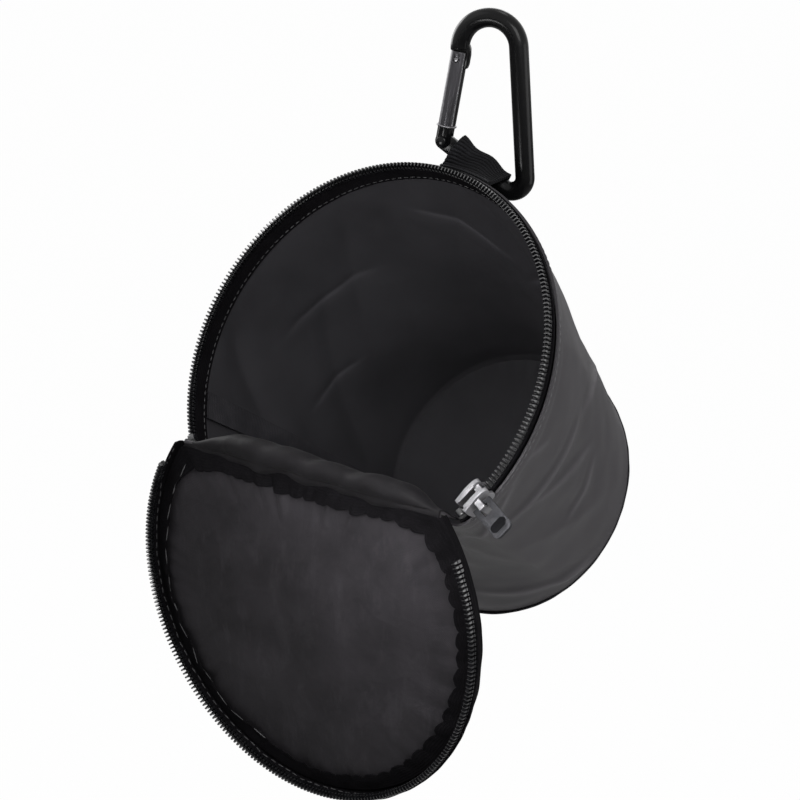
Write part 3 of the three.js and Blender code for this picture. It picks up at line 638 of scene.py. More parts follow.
def mouth_track(radius, drop, corner):
    """The mouth's outline, from the middle of the hinge edge round by the left side."""
    x, y, turn = corner_of(radius, drop, corner)
    points = [Vector((0.0, -drop))]

    def bend(middle, size, start, end, steps):
        for step in range(steps + 1):
            swing = lerp(start, end, step / steps)
            points.append(Vector((middle[0] + size * sin(swing), middle[1] + size * cos(swing))))

    step_on, corner_steps, rim_steps = 0.02, 14, 220
    bend((-x, y), corner, -pi, -turn - step_on, corner_steps)
    bend((0, 0), radius, -turn, turn, rim_steps)
    bend((x, y), corner, turn + step_on, pi, corner_steps)
    points.append(points[0].copy())
    return Track(points)


def on_rim(swing, radius, z):
    """A point at an angle from the top of the mouth."""
    return Vector((radius * sin(swing), radius * cos(swing), z))


def wall_share(bag, z):
    return max(0.0, (-z - bag.hem_drop) / (bag.depth - bag.hem_drop))


def wall_point(bag, swing, z, inset):
    """A point of the wall behind the zip, inset from the wall's outside."""
    mouth = on_rim(swing, bag.mouth_radius + bag.wall_out - inset, z)
    base = on_rim(swing, bag.base_radius - inset, z)
    base.y -= bag.base_sag
    return mouth.lerp(base, wall_share(bag, z))


def turned_under(share):
    """How far the wall's end is drawn in to the base at a share of its depth."""
    drawn_in, start, length_share = 0.0018, 0.965, 0.035
    return drawn_in * ease((share - start) / length_share) ** 2


def zip_turn(bag):
    """The angle from the top of the mouth at which the zip ends."""
    return corner_of(bag.mouth_radius, bag.hinge_drop, bag.corner)[2]


# Folds of the wall: angle in degrees from the top of the mouth and share of the depth at both ends,
# then half width in millimetres and height as a share of the fold height
WALL_FOLDS = (
    (120, 0.24, 84, 0.34, 2.0, 0.34),
    (110, 0.30, 86, 0.51, 1.8, 0.28),
    (106, 0.59, 87, 0.60, 1.8, 0.22),
    (139, 0.27, 107, 0.04, 2.2, 0.28),
    (106, 0.02, 97, 0.12, 1.6, 0.20),
    (158, 0.80, 114, 0.93, 2.6, 0.30),
    (129, 0.88, 112, 0.97, 2.0, 0.22),
    (124, 0.46, 98, 0.72, 5.0, 0.36),
    (102, 0.36, 92, 0.80, 6.0, 0.34),
    (150, 0.10, 128, 0.60, 5.0, 0.40),
    (70, 0.10, 62, 0.55, 7.0, 0.40),
    (76, 0.40, 52, 0.58, 2.2, 0.28),
    (48, 0.20, 58, 0.85, 9.0, 0.45),
    (40, 0.30, 22, 0.44, 2.0, 0.26),
    (14, 0.12, 40, 0.60, 6.0, 0.50),
    (2, 0.14, -20, 0.70, 7.0, 0.50),
    (-12, 0.20, 12, 0.34, 2.0, 0.28),
    (-34, 0.08, -62, 0.62, 6.0, 0.55),
    (-44, 0.36, -74, 0.30, 2.0, 0.28),
    (-58, 0.30, -96, 0.78, 6.0, 0.50),
    (-70, 0.60, -92, 0.52, 2.0, 0.26),
    (-88, 0.10, -118, 0.42, 5.0, 0.55),
    (-104, 0.50, -140, 0.86, 6.0, 0.50),
    (-118, 0.24, -146, 0.36, 2.0, 0.30),
    (-132, 0.12, -160, 0.60, 6.0, 0.55),
    (172, 0.20, 148, 0.55, 7.0, 0.50),
    (-172, 0.35, 170, 0.80, 8.0, 0.50),
    (168, 0.14, -166, 0.26, 2.2, 0.30),
)


def fold_height(swing, share, fold):
    """The height of one fold, a ridge with a dip on one side, and how much its crest is lightened,
    crease wear along with a painted sheen of the lit ridge.
    """
    start_angle, start, end_angle, end, half_width, height = fold
    mean_radius, mean_depth = 65.0, 117.0
    away = (degrees(swing) - start_angle + 180) % 360 - 180
    turn = (end_angle - start_angle + 180) % 360 - 180
    point = Vector((radians(away) * mean_radius, (share - start) * mean_depth))
    way = Vector((radians(turn) * mean_radius, (end - start) * mean_depth))
    along = point.dot(way) / way.length_squared
    side = (way.x * point.y - way.y * point.x) / way.length / half_width
    widest, overrun = 4, 0.3
    if abs(side) > widest or not -overrun < along < 1 + overrun:
        return 0.0, 0.0
    fade = ease((along + overrun) / (2 * overrun)) * ease((1 + overrun - along) / (2 * overrun))
    dip_place, dip_depth = 1.8, 0.35
    ridge = exp(-0.9 * abs(side) ** 1.5) - dip_depth * exp(-0.5 * (side - dip_place) ** 2)
    crest_width, sharp_fold = 0.55, 3
    crest = fade * exp(-((side / crest_width) ** 2)) if half_width < sharp_fold else 0.0
    return height * fade * ridge, crest


class PEGBAG_OT_wall(bpy.types.Operator):
    """Lofts the fabric wall from the mouth to the base, with its folds and its hem"""

    bl_idname = "pegbag.wall"
    bl_label = "Wall"

    def execute(self, context):
        bag = context.scene.pegbag_bag
        colours = context.scene.pegbag_colours
        grow = bag.wall_out
        track = mouth_track(bag.mouth_radius + grow, bag.hinge_drop + grow, bag.corner + grow)

        def place(around, share):
            mouth = track.at(around)
            swing = atan2(mouth.x, mouth.y)
            base = Vector((sin(swing), cos(swing))) * bag.base_radius
            base.y -= bag.base_sag
            spot = mouth.lerp(base, share)
            outwards = (spot - Vector((0, -bag.base_sag * share))).normalized()
            calm_top, calm_foot = 0.12, 0.1
            middle = ease(share / calm_top) * ease((1 - share) / calm_foot)
            heights, crests = zip(*(fold_height(swing, share, fold) for fold in WALL_FOLDS))
            folds = sum(heights) * bag.fold
            # Fold crests lighten the colour through the wear attribute: crease wear along with a
            # painted sheen of the lit ridges.
            wear.append(max(crests) * middle)
            seed = Vector((spot.x * 26, spot.y * 26, share * 3.1))
            swell, ripple, bow_depth = 0.0012, 0.00035, 0.0016
            soft = noise.noise(seed) * swell + noise.noise(seed * 3.2) * ripple
            bow = -bow_depth * sin(pi * share)
            hem_height, hem_end, hem_fade = 0.0003, 0.045, 0.02
            hem = hem_height * (1 - ease((share - hem_end) / hem_fade))
            spot += outwards * ((folds + soft) * middle + bow + hem - turned_under(share))
            return Vector((spot.x, spot.y, lerp(-bag.hem_drop, -bag.depth, share)))

        wear = []
        wall = cloth("wall", place, (track.length, bag.depth), columns=420, rows=108, wear=wear)
        fabric = satin_fabric("satin_fabric", colours.fabric, mottle=0.12, gloss=0.36)
        lining = satin_fabric("black_lining", colours.lining, mottle=0.18, gloss=0.5)
        wall.data.materials.append(fabric)
        wall.data.materials.append(lining)
        thicken(wall, bag.fabric, back=1)
        dress(wall, "bag", "grey_fabric", replaced=["side_panel"])
        return {"FINISHED"}


class PEGBAG_OT_base(bpy.types.Operator):
    """Makes the covered base board, its binding and the closing seam inside the wall"""

    bl_idname = "pegbag.base"
    bl_label = "Base"

    def execute(self, context):
        bag = context.scene.pegbag_bag
        colours = context.scene.pegbag_colours

        def disc(around, share):
            swing = 2 * pi * around
            puckers, edge_inset, edge_rise = 46, 0.0024, 0.0009
            pucker = 0.00035 * cos(puckers * swing) * ease((share - 0.8) / 0.2)
            seed = Vector((sin(swing), cos(swing), 0)) * share * 4
            pillow = 0.0007 * (1 - share**4) + 0.0003 * noise.noise(seed)
            z = -bag.depth - pillow * 0.4 + edge_rise + pucker
            spot = on_rim(swing, share * (bag.base_radius - edge_inset), z)
            spot.y -= bag.base_sag
            return spot

        base = cloth("base", disc, (2 * pi * bag.base_radius, bag.base_radius), columns=160, rows=30)
        base.data.materials.append(bpy.data.materials["satin_fabric"])
        base.data.materials.append(bpy.data.materials["black_lining"])
        if sum((face.normal for face in base.data.polygons), Vector()).dot(MOUTH_OUT) > 0:
            in_edit_mode(base, turn_over)
        board = 0.002
        thicken(base, board, back=1)
        dress(base, "bag", "base_board", replaced=["base_panel"])

        # The binding's section: how far in from the wall's outside, and how high over the base
        width = bag.binding_width
        section = [(-0.0002, width), (-0.0005, width - 0.0005), (-0.0006, 0.0008)]
        section += [(-0.0004, -0.0003), (0.0014, -0.0008), (0.0042, -0.0004), (0.005, 0.0004)]
        profile = Track([Vector(point) for point in section])

        def strip(around, share):
            inset, rise = profile.at(share)
            z = rise - bag.depth
            swing = 2 * pi * around
            inset += turned_under(wall_share(bag, z))
            ripple = 0.0002 * noise.noise(Vector((sin(swing), cos(swing), share)) * 9)
            return wall_point(bag, swing, z, inset + ripple)

        around_base = 2 * pi * bag.base_radius
        binding = cloth("base_binding_tape", strip, (around_base, profile.length), columns=300, rows=16)
        tape = woven_tape("binding_tape", colours.binding, TAPE_RIB)
        dress(binding, "bag", "black_tape", tape, replaced=["base_binding"])
        thicken(binding, thickness=0.0004)

        # The seam inside the wall runs from under the tape down to the base
        seam_place, seam_width = radians(-112), 0.008
        spread = seam_width / 2 / bag.base_radius

        def seam(across, share):
            under_tape, over_base = -0.0093, -bag.depth + 0.0023
            z = lerp(under_tape, over_base, share)
            bend = 0.0006 * sin(share * 19) * (1 - abs(2 * across - 1))
            inset = 0.0026 + bend + 0.0022 * sin(pi * share) * 0.7
            return wall_point(bag, seam_place + (2 * across - 1) * spread, z, inset)

        inside = cloth("inside_seam", seam, (seam_width, bag.depth), columns=8, rows=60)
        dress(inside, "bag", "black_tape", tape, replaced=["side_seam"])
        thicken(inside, thickness=0.0006, offset=0)
        return {"FINISHED"}


# Zip


def tooth_model(sizes):
    """One moulded tooth: a foot on the tape, a neck and a rounded head, which its z runs towards."""
    deselect()
    bpy.ops.mesh.primitive_cube_add(size=1)
    tooth = bpy.context.object
    foot, head = -sizes.half, sizes.reach
    for vertex in tooth.data.vertices:
        vertex.co.x *= sizes.tooth
        vertex.co.y *= sizes.thickness
        vertex.co.z = foot if vertex.co.z < 0 else lerp(foot, head, 0.45)

    def raise_head():
        bpy.ops.mesh.select_all(action="DESELECT")
        bpy.ops.object.mode_set(mode="OBJECT")
        for face in tooth.data.polygons:
            face.select = face.normal.z > 0.9
        bpy.ops.object.mode_set(mode="EDIT")
        bpy.ops.mesh.extrude_region_move()
        bpy.ops.transform.resize(value=(0.72, 0.8, 1))
        for share in (0.35, 0.2):
            rise = (0, 0, (head - foot) * share)
            bpy.ops.mesh.extrude_region_move(TRANSFORM_OT_translate={"value": rise})
        bpy.ops.transform.resize(value=(0.6, 0.7, 1))

    in_edit_mode(tooth, raise_head)
    return tooth


def zip_row(name, sizes, bag, matrix, side, turn, last):
    """A row of teeth along the rim as one piece, which ends at the angle last on the right.

    Side is 1 for the bag's row and -1 for the lid's.
    """
    step = sizes.pitch / bag.mouth_radius
    count = int(2 * turn / step)
    shift = 0 if side > 0 else step / 2
    places = []
    for k in range(count):
        swing = (k - (count - 1) / 2) * step + shift
        if swing > last:
            break
        along = Vector((cos(swing), -sin(swing), 0))
        out = Vector((sin(swing), cos(swing), 0))
        turned = Matrix((along, out, Vector((0, 0, side)))).transposed().to_4x4()
        places.append(matrix @ Matrix.Translation(out * bag.mouth_radius) @ turned)
    row = repeated(name, tooth_model(sizes), places)
    in_edit_mode(row, turn_outwards)
    smooth(row, limit=50)
    return row


def rim_band(name, bag, section, turn, size, matrix=MOUTH, rows=12, flipped=False, wave=0.0, flat=None):
    """A strip along the zip. Each point of the section is an inset from the zip's middle and a height.

    From the angle flat on, the strip has no cord and no waves, to pass through the slider.
    """
    profile = Track([Vector(point) for point in section])

    def place(along, across):
        inset, z = profile.at(across)
        swing = lerp(-turn, turn, along)
        ripple = wave * noise.noise(Vector((swing * 9, across * 2, 3.1)))
        if flat:
            change, least_inset, least_height = radians(2.5), 0.0001, 0.0028
            share = ease((abs(swing) - flat) / change)
            ripple *= 1 - share
            inset = lerp(inset, max(inset, least_inset), share)
            z = lerp(z, max(z, least_height), share)
        return wall_point(bag, swing, z, bag.wall_out + inset + ripple)

    columns = 260
    return cloth(name, place, (2 * turn * bag.mouth_radius, size), columns, rows, matrix, flipped)


class PEGBAG_OT_zip(bpy.types.Operator):
    """Makes the zip: both tapes, both rows of teeth and the end stops"""

    bl_idname = "pegbag.zip"
    bl_label = "Zip"

    def execute(self, context):
        bag, sizes = context.scene.pegbag_bag, context.scene.pegbag_zip
        lid = context.scene.pegbag_lid
        colours = context.scene.pegbag_colours
        turn, spare = zip_turn(bag), radians(1.6)
        plastic = moulded_plastic("zip_plastic", colours.teeth, rough=0.2, shine=0.9)
        tape = woven_tape("woven_tape", colours.tape, TAPE_RIB)

        teeth = zip_row("bag_teeth", sizes, bag, MOUTH, 1, turn, turn)
        dress(teeth, "bag", "zip_teeth", plastic, replaced=["mouth_teeth"])
        lid_turn = turn - sizes.lid_shortfall
        lid_teeth = zip_row("lid_teeth_row", sizes, bag, LID, -1, lid_turn, turn - sizes.slider_room)
        dress(lid_teeth, "lid", "zip_teeth", plastic, replaced=["lid_teeth"])

        # The bag's tape: a corded edge behind the teeth, then flat cloth down inside the hem
        cord = 0.0009
        section = [(-cord, -0.0021), (-cord, -0.0030), (-0.0003, -0.0036)]
        section += [(0.0004, -0.005), (0.0006, -sizes.tape_foot)]
        mouth_tape = rim_band("bag_tape", bag, section, turn + spare, sizes.tape_foot, flipped=True)
        dress(mouth_tape, "bag", "black_tape", tape, replaced=["mouth_tape"])
        thicken(mouth_tape, sizes.tape)

        # The lid's tape: from behind the teeth up to the panel, then folded in over its edge
        top = lid.height + lid.fabric / 2
        section = [(-cord, 0.0021), (-cord, 0.0030), (-0.0004, 0.0037), (0.0, 0.0046)]
        section += [(0.0004, top - 0.0004), (0.0012, top + 0.0003), (0.0032, top + 0.0004)]
        options = {"rows": 18, "wave": 0.0004, "flat": radians(111)}
        lid_tape = rim_band("lid_tape_band", bag, section, turn + spare, 0.007, LID, **options)
        dress(lid_tape, "lid", "black_tape", tape, replaced=["lid_tape"])
        thicken(lid_tape, sizes.tape)

        for side in ("right", "left"):
            stop = copy_of_node("zip_stop_" + side, bevel=0.0003)
            dress(stop, "bag", "steel", plastic, replaced=["zip_stop_" + side])
        return {"FINISHED"}


# Lid and hinge


class PEGBAG_OT_lid(bpy.types.Operator):
    """Makes the lid's panel with its creased lining, and the frayed seam allowance"""

    bl_idname = "pegbag.lid"
    bl_label = "Lid"

    def execute(self, context):
        bag, lid = context.scene.pegbag_bag, context.scene.pegbag_lid
        colours = context.scene.pegbag_colours
        edge = lid.edge
        track = mouth_track(bag.mouth_radius - edge, bag.hinge_drop - edge, bag.corner - edge)
        heart = Vector((0.0, 0.012))
        corner_x = corner_of(bag.mouth_radius, bag.hinge_drop, bag.corner)[0]
        upper_corner = Vector((corner_x, -bag.hinge_drop))

        def relief(spot, share):
            """Soft hollows of the hanging cloth, and puckers where it is gathered at the seam."""
            seed = Vector((spot.x * 24, spot.y * 24, 1.7))
            slant = Vector(((spot.x + spot.y) * 26, (spot.x - spot.y) * 7, 4.2))
            hollow = 0.0014 * noise.noise(seed) + 0.0006 * noise.noise(seed * 2.9)
            hollow += 0.0016 * noise.noise(slant)
            swing = atan2(spot.x, spot.y - heart.y)
            ring = Vector((cos(swing), sin(swing), 0.4)) * 8
            gather = 0.0012 * noise.noise(ring) + 0.0008 * noise.noise(ring * 2.6)
            start, rise, by_the_hinge = 0.62, 0.34, 2.2
            gather *= ease((share - start) / rise) * (1.6 if abs(swing) > by_the_hinge else 0.8)
            return (hollow + gather) * ease((1 - share) / 0.08) - lid.dome * (1 - share * share)

        def place(around, share):
            spot = heart.lerp(track.at(around), share)
            return Vector((spot.x, spot.y, lid.height + lid.fabric / 2 + relief(spot, share)))

        size = (track.length, bag.mouth_radius)
        panel = cloth("lid_cloth", place, size, columns=260, rows=60, matrix=LID)
        out = LID.to_3x3() @ Vector((0, 0, 1))
        if panel.data.polygons[len(panel.data.polygons) // 2].normal.dot(out) < 0:
            in_edit_mode(panel, turn_over)
        panel.data.materials.append(bpy.data.materials["satin_fabric"])
        panel.data.materials.append(crumpled_lining("lid_lining", colours.lid_lining))
        thicken(panel, lid.fabric, back=1)
        dress(panel, "lid", "grey_fabric", replaced=["lid_panel"])

        def frill(around, share):
            outer = track.at(around)
            inward = (heart - outer).normalized()
            drift = 2.2 * noise.noise(Vector((outer.x, outer.y, 0)) * 60)
            wave = 1.4 * sqrt(abs(sin(lid.seam_waves * pi * around + drift))) - 0.8
            seed = Vector((outer.x, outer.y, 2))
            ragged = 0.6 * noise.noise(seed * 60) + 0.2 * noise.noise(seed * 400)
            loose = 0.25 + 0.75 * ease((outer.x + 0.03) / 0.05)
            width = lid.seam_width + lid.seam_wave * (wave + ragged) * loose * ease(share * 1.3)
            to_corner = (Vector((abs(outer.x), outer.y)) - upper_corner).length
            corner_reach = 0.011
            width += lid.seam_corner * exp(-((to_corner / corner_reach) ** 2))
            spot = outer + inward * (width * share)
            lift = 0.0005 * (1 + wave) * share * share + 0.0005 * share
            lining = relief(spot, 1 - width * share / (heart - outer).length)
            return Vector((spot.x, spot.y, lid.height - lid.fabric / 2 - 0.0007 - lift + lining))

        size = (track.length, lid.seam_width)
        seam = cloth("lid_frayed_seam", frill, size, columns=928, rows=7, matrix=LID)
        dress(seam, "lid", "black_tape", bpy.data.materials["woven_tape"], replaced=["lid_seam"])
        thicken(seam, thickness=0.0004, offset=0)
        return {"FINISHED"}


class PEGBAG_OT_hinge(bpy.types.Operator):
    """Makes the hinge: the flat outer strip and the soft roll of lining over it"""

    bl_idname = "pegbag.hinge"
    bl_label = "Hinge"

    def execute(self, context):
        bag, lid = context.scene.pegbag_bag, context.scene.pegbag_lid
        colours = context.scene.pegbag_colours
        half = corner_of(bag.mouth_radius, bag.hinge_drop, bag.corner)[0] + 0.001
        down_lid = LID.to_3x3() @ Vector((0, 1, 0))
        lid_inside = LID.to_3x3() @ Vector((0, 0, -1))
        up_strip, bag_inside = MOUTH_OUT, MOUTH_UP
        end = HINGE + down_lid * 0.003

        def section(offset, foot, hang):
            """The strip's line from the bag to the lid, at an offset to its inner side."""
            groove = min(offset, 0.0022)
            points = [HINGE - up_strip * foot + bag_inside * 0.0006]
            points.append(HINGE - up_strip * foot * 0.55 + bag_inside * offset * 0.45)
            points.append(HINGE - up_strip * foot * 0.25 + bag_inside * offset * 0.85)
            for step in range(19):
                way = bag_inside.lerp(lid_inside, step / 18).normalized()
                points.append(HINGE + way * lerp(offset, groove, ease((step / 18 - 0.42) / 0.42)))
            points.append(HINGE + down_lid * hang * 0.6 + lid_inside * groove * 0.9)
            points.append(HINGE + down_lid * hang + lid_inside * groove * 0.4)
            return Track(points)

        def strip(name, offset, foot, hang, waviness):
            flat = section(offset, foot, hang)
            low = section(min(offset, 0.0008), foot, hang)

            def place(along, across):
                x = lerp(-half, half, along)
                seed = Vector((x * 95 + across * 2.5, across * 3.0, 5.0))
                lumps = 0.92 + 0.25 * noise.noise(Vector((x * 45, 0, 7.0)))
                full = ease(along / 0.24) * ease((1 - along) / 0.16) * lumps
                full *= lerp(1.0, 0.86, ease((along - 0.55) / 0.3))
                spot = low.at(across).lerp(flat.at(across), full)
                swell = (spot - HINGE).normalized() * waviness * noise.noise(seed)
                return spot + swell + ACROSS * x

            return cloth(name, place, (2 * half, flat.length), columns=120, rows=44, matrix=Matrix())

        foot = 0.0125
        roll = strip("hinge_roll", offset=lid.roll, foot=foot, hang=0.003, waviness=0.0017)
        # The roll is the lid's lining at about a third of its colour: painted shade where it lies in
        # the hinge's fold.
        lining = crumpled_lining("shaded_roll_lining", shade(colours.lid_lining, 0.35))
        dress(roll, "bag", "grey_fabric", lining)
        thicken(roll, thickness=0.0006, offset=0)
        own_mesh(roll)

        outer = strip("hinge_strip", offset=0.0003, foot=0.0095, hang=0.0026, waviness=0.0)
        dress(outer, None, "grey_fabric", bpy.data.materials["satin_fabric"], replaced=["hinge_band"])
        thicken(outer, thickness=0.0007, offset=0)
        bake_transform(outer)
        return {"FINISHED"}


# Loop and carabiner


def loop_path(bag, loop, rod, across):
    """The webbing's middle line at a distance across it: hem, round the bar and back to the hem."""
    into = MOUTH.inverted()
    bar_way = into.to_3x3() @ BAR_WAY
    up = into.to_3x3() @ Vector((0, 0, 1))
    rise = (up - bar_way * up.dot(bar_way)).normalized()
    front = bar_way.cross(rise)
    centre = into @ BAR_MIDDLE + bar_way * across
    swing = loop.place + across / bag.mouth_radius
    ply = loop.thickness / 2
    bunch_pitch, bunch_height = 0.0132, 0.0006
    bunch = 1 + cos(2 * pi * (across + loop.width / 2) / bunch_pitch)
    wrap = rod + loop.gap + ply + bunch_height * bunch
    hem_top = -bag.hem_drop - 2 * loop.gap
    hem_foot = hem_top - loop.patch
    low = loop.gap + ply
    high = low + loop.thickness + loop.gap

    def layer(z, gap):
        return wall_point(bag, swing, z, -gap)

    def tangent(point, side):
        away = point - centre
        x, y = away.dot(front), away.dot(rise)
        return atan2(y, x) + side * acos(wrap / hypot(x, y))

    first = layer(hem_foot, low)
    last = layer(hem_top - 0.0014, high - 0.0009)
    start, end = tangent(first, -1), tangent(last, 1)
    while end > pi / 2:
        end -= 2 * pi
    while start < pi / 2:
        start += 2 * pi
    points = [layer(hem_top, low), first]
    for step in range(25):
        turn = lerp(start, end, step / 24)
        points.append(centre + (front * cos(turn) + rise * sin(turn)) * wrap)
    points += [last, layer(hem_top, high - 0.0011)]
    return Track(points)


class PEGBAG_OT_loop(bpy.types.Operator):
    """Weaves the ribbed webbing loop from the hem round the carabiner's bar and back"""

    bl_idname = "pegbag.loop"
    bl_label = "Webbing loop"

    def execute(self, context):
        scene = context.scene
        bag, loop = scene.pegbag_bag, scene.pegbag_loop
        rod = scene.pegbag_carabiner.rod
        rows, columns_to_rib = 14, 5
        half = loop.width / 2
        across_rows = [lerp(-half, half, row / rows) for row in range(rows + 1)]
        paths = [loop_path(bag, loop, rod, distance) for distance in across_rows]
        columns = columns_to_rib * int(paths[0].length / WEBBING_RIB)

        def place(along, across):
            return paths[round(across * rows)].at(along)

        webbing = cloth("webbing_loop", place, (paths[0].length, loop.width), columns, rows)
        rib_height, rib_room = 0.0002, 0.0003
        normals = [entry.vector.copy() for entry in webbing.data.vertex_normals]
        for vertex, normal in zip(webbing.data.vertices, normals):
            column = vertex.index % (columns + 1)
            vertex.co += normal * (rib_height * sin(2 * pi * column / columns_to_rib))
        thicken(webbing, loop.thickness - rib_room, offset=0)
        ribbed = ribbed_webbing("webbing", scene.pegbag_colours.webbing, WEBBING_RIB)
        dress(webbing, "bag", "black_tape", ribbed, replaced=["hang_loop"])
        return {"FINISHED"}


def plate(name, outline, thickness, matrix):
    """A flat plate with eased edges, cut from an outline of x and z."""
    mesh = bpy.data.meshes.new(name)
    mesh.from_pydata([(x, 0, z) for x, z in outline], [], [tuple(range(len(outline)))])
    piece = new_object(name, mesh)
    modify(piece, "SOLIDIFY", thickness=thickness, offset=0)
    in_edit_mode(piece, turn_outwards)
    ease_edges(piece, width=0.0002, limit=40)
    piece.data.transform(matrix)
    return piece


def join(pieces):
    """Joins pieces into the first of them."""
    deselect()
    for piece in pieces:
        piece.select_set(True)
    bpy.context.view_layer.objects.active = pieces[0]
    bpy.ops.object.join()
    return pieces[0]


# Thickness of the plates at both ends of the gate
PLATE = 0.0024


def nose_plates(place, reach):
    """The tongue with its latch notch, and the lip that closes the notch."""
    half, inner, room = 0.0023, 0.0028, 0.00095
    tip, latch, root = reach - 0.0064, reach - 0.0034, reach + 0.0017
    outline = [(-half, root), (-half, tip + 0.001), (0.001 - half, tip), (inner, tip)]
    outline.append((inner, latch - room))
    for step in range(9):
        turn = -pi / 2 - pi * step / 8
        outline.append((room * cos(turn), latch + room * sin(turn)))
    outline += [(inner, latch + room), (inner, root)]
    tongue = plate("tongue", outline, PLATE, place)
    lip_back, proud, lip_root = 0.0026, 0.0042, reach + 0.0024
    outline = [(lip_back, tip), (0.0035, tip), (0.0039, tip + 0.0005), (proud, tip + 0.0018)]
    outline += [(proud, reach - 0.0012), (0.0038, reach + 0.0012), (0.0032, lip_root)]
    outline.append((lip_back, lip_root))
    return tongue, plate("lip", outline, PLATE, place)


def lug_plate(place, bar_end, rod):
    """The lug that holds the gate's rivet, run into the end of the bar."""
    radius = 0.0031
    to_bar = place.inverted() @ bar_end
    bearing = atan2(to_bar.z, to_bar.x)
    outline = []
    for step in range(17):
        turn = bearing + pi / 2 + pi * step / 16
        outline.append((radius * cos(turn), radius * sin(turn)))
    into = to_bar * (1 + rod / 2 / to_bar.length)
    side = Vector((-sin(bearing), 0, cos(bearing))) * radius
    outline += [(into.x - side.x, into.z - side.z), (into.x + side.x, into.z + side.z)]
    return plate("lug", outline, PLATE, place)


def sleeve_trim(foot, gate_way, inwards, reach, channel):
    """A rolled collar where the gate's sleeve ends, and thin rails of lighter steel for the edges of
    its channel, a painted glint along them.
    """
    deselect()
    turned = gate_way.to_track_quat("Z", "Y").to_euler()
    ring = {"major_radius": 0.0033, "minor_radius": 0.0004}
    ring |= {"major_segments": 36, "minor_segments": 10}
    bpy.ops.mesh.primitive_torus_add(location=foot, rotation=turned, **ring)
    trim = [bpy.context.object]
    bpy.ops.object.transform_apply()
    edge, channel_radius, channel_end = 0.00032, 0.0031, reach - 0.0008
    # Rails of lighter steel along the channel's edges: painted glints of those edges.
    for side in (-1, 1):
        away = inwards * cos(channel) + CARABINER_SIDE * side * sin(channel)
        options = {"depth": reach - 0.0064, "rotation": turned}
        middle = (foot + GATE_PIVOT + gate_way * channel_end) / 2 + away * channel_radius
        bpy.ops.mesh.primitive_cylinder_add(vertices=10, radius=edge, location=middle, **options)
        trim.append(bpy.context.object)
        bpy.ops.object.transform_apply()
    return join(trim)


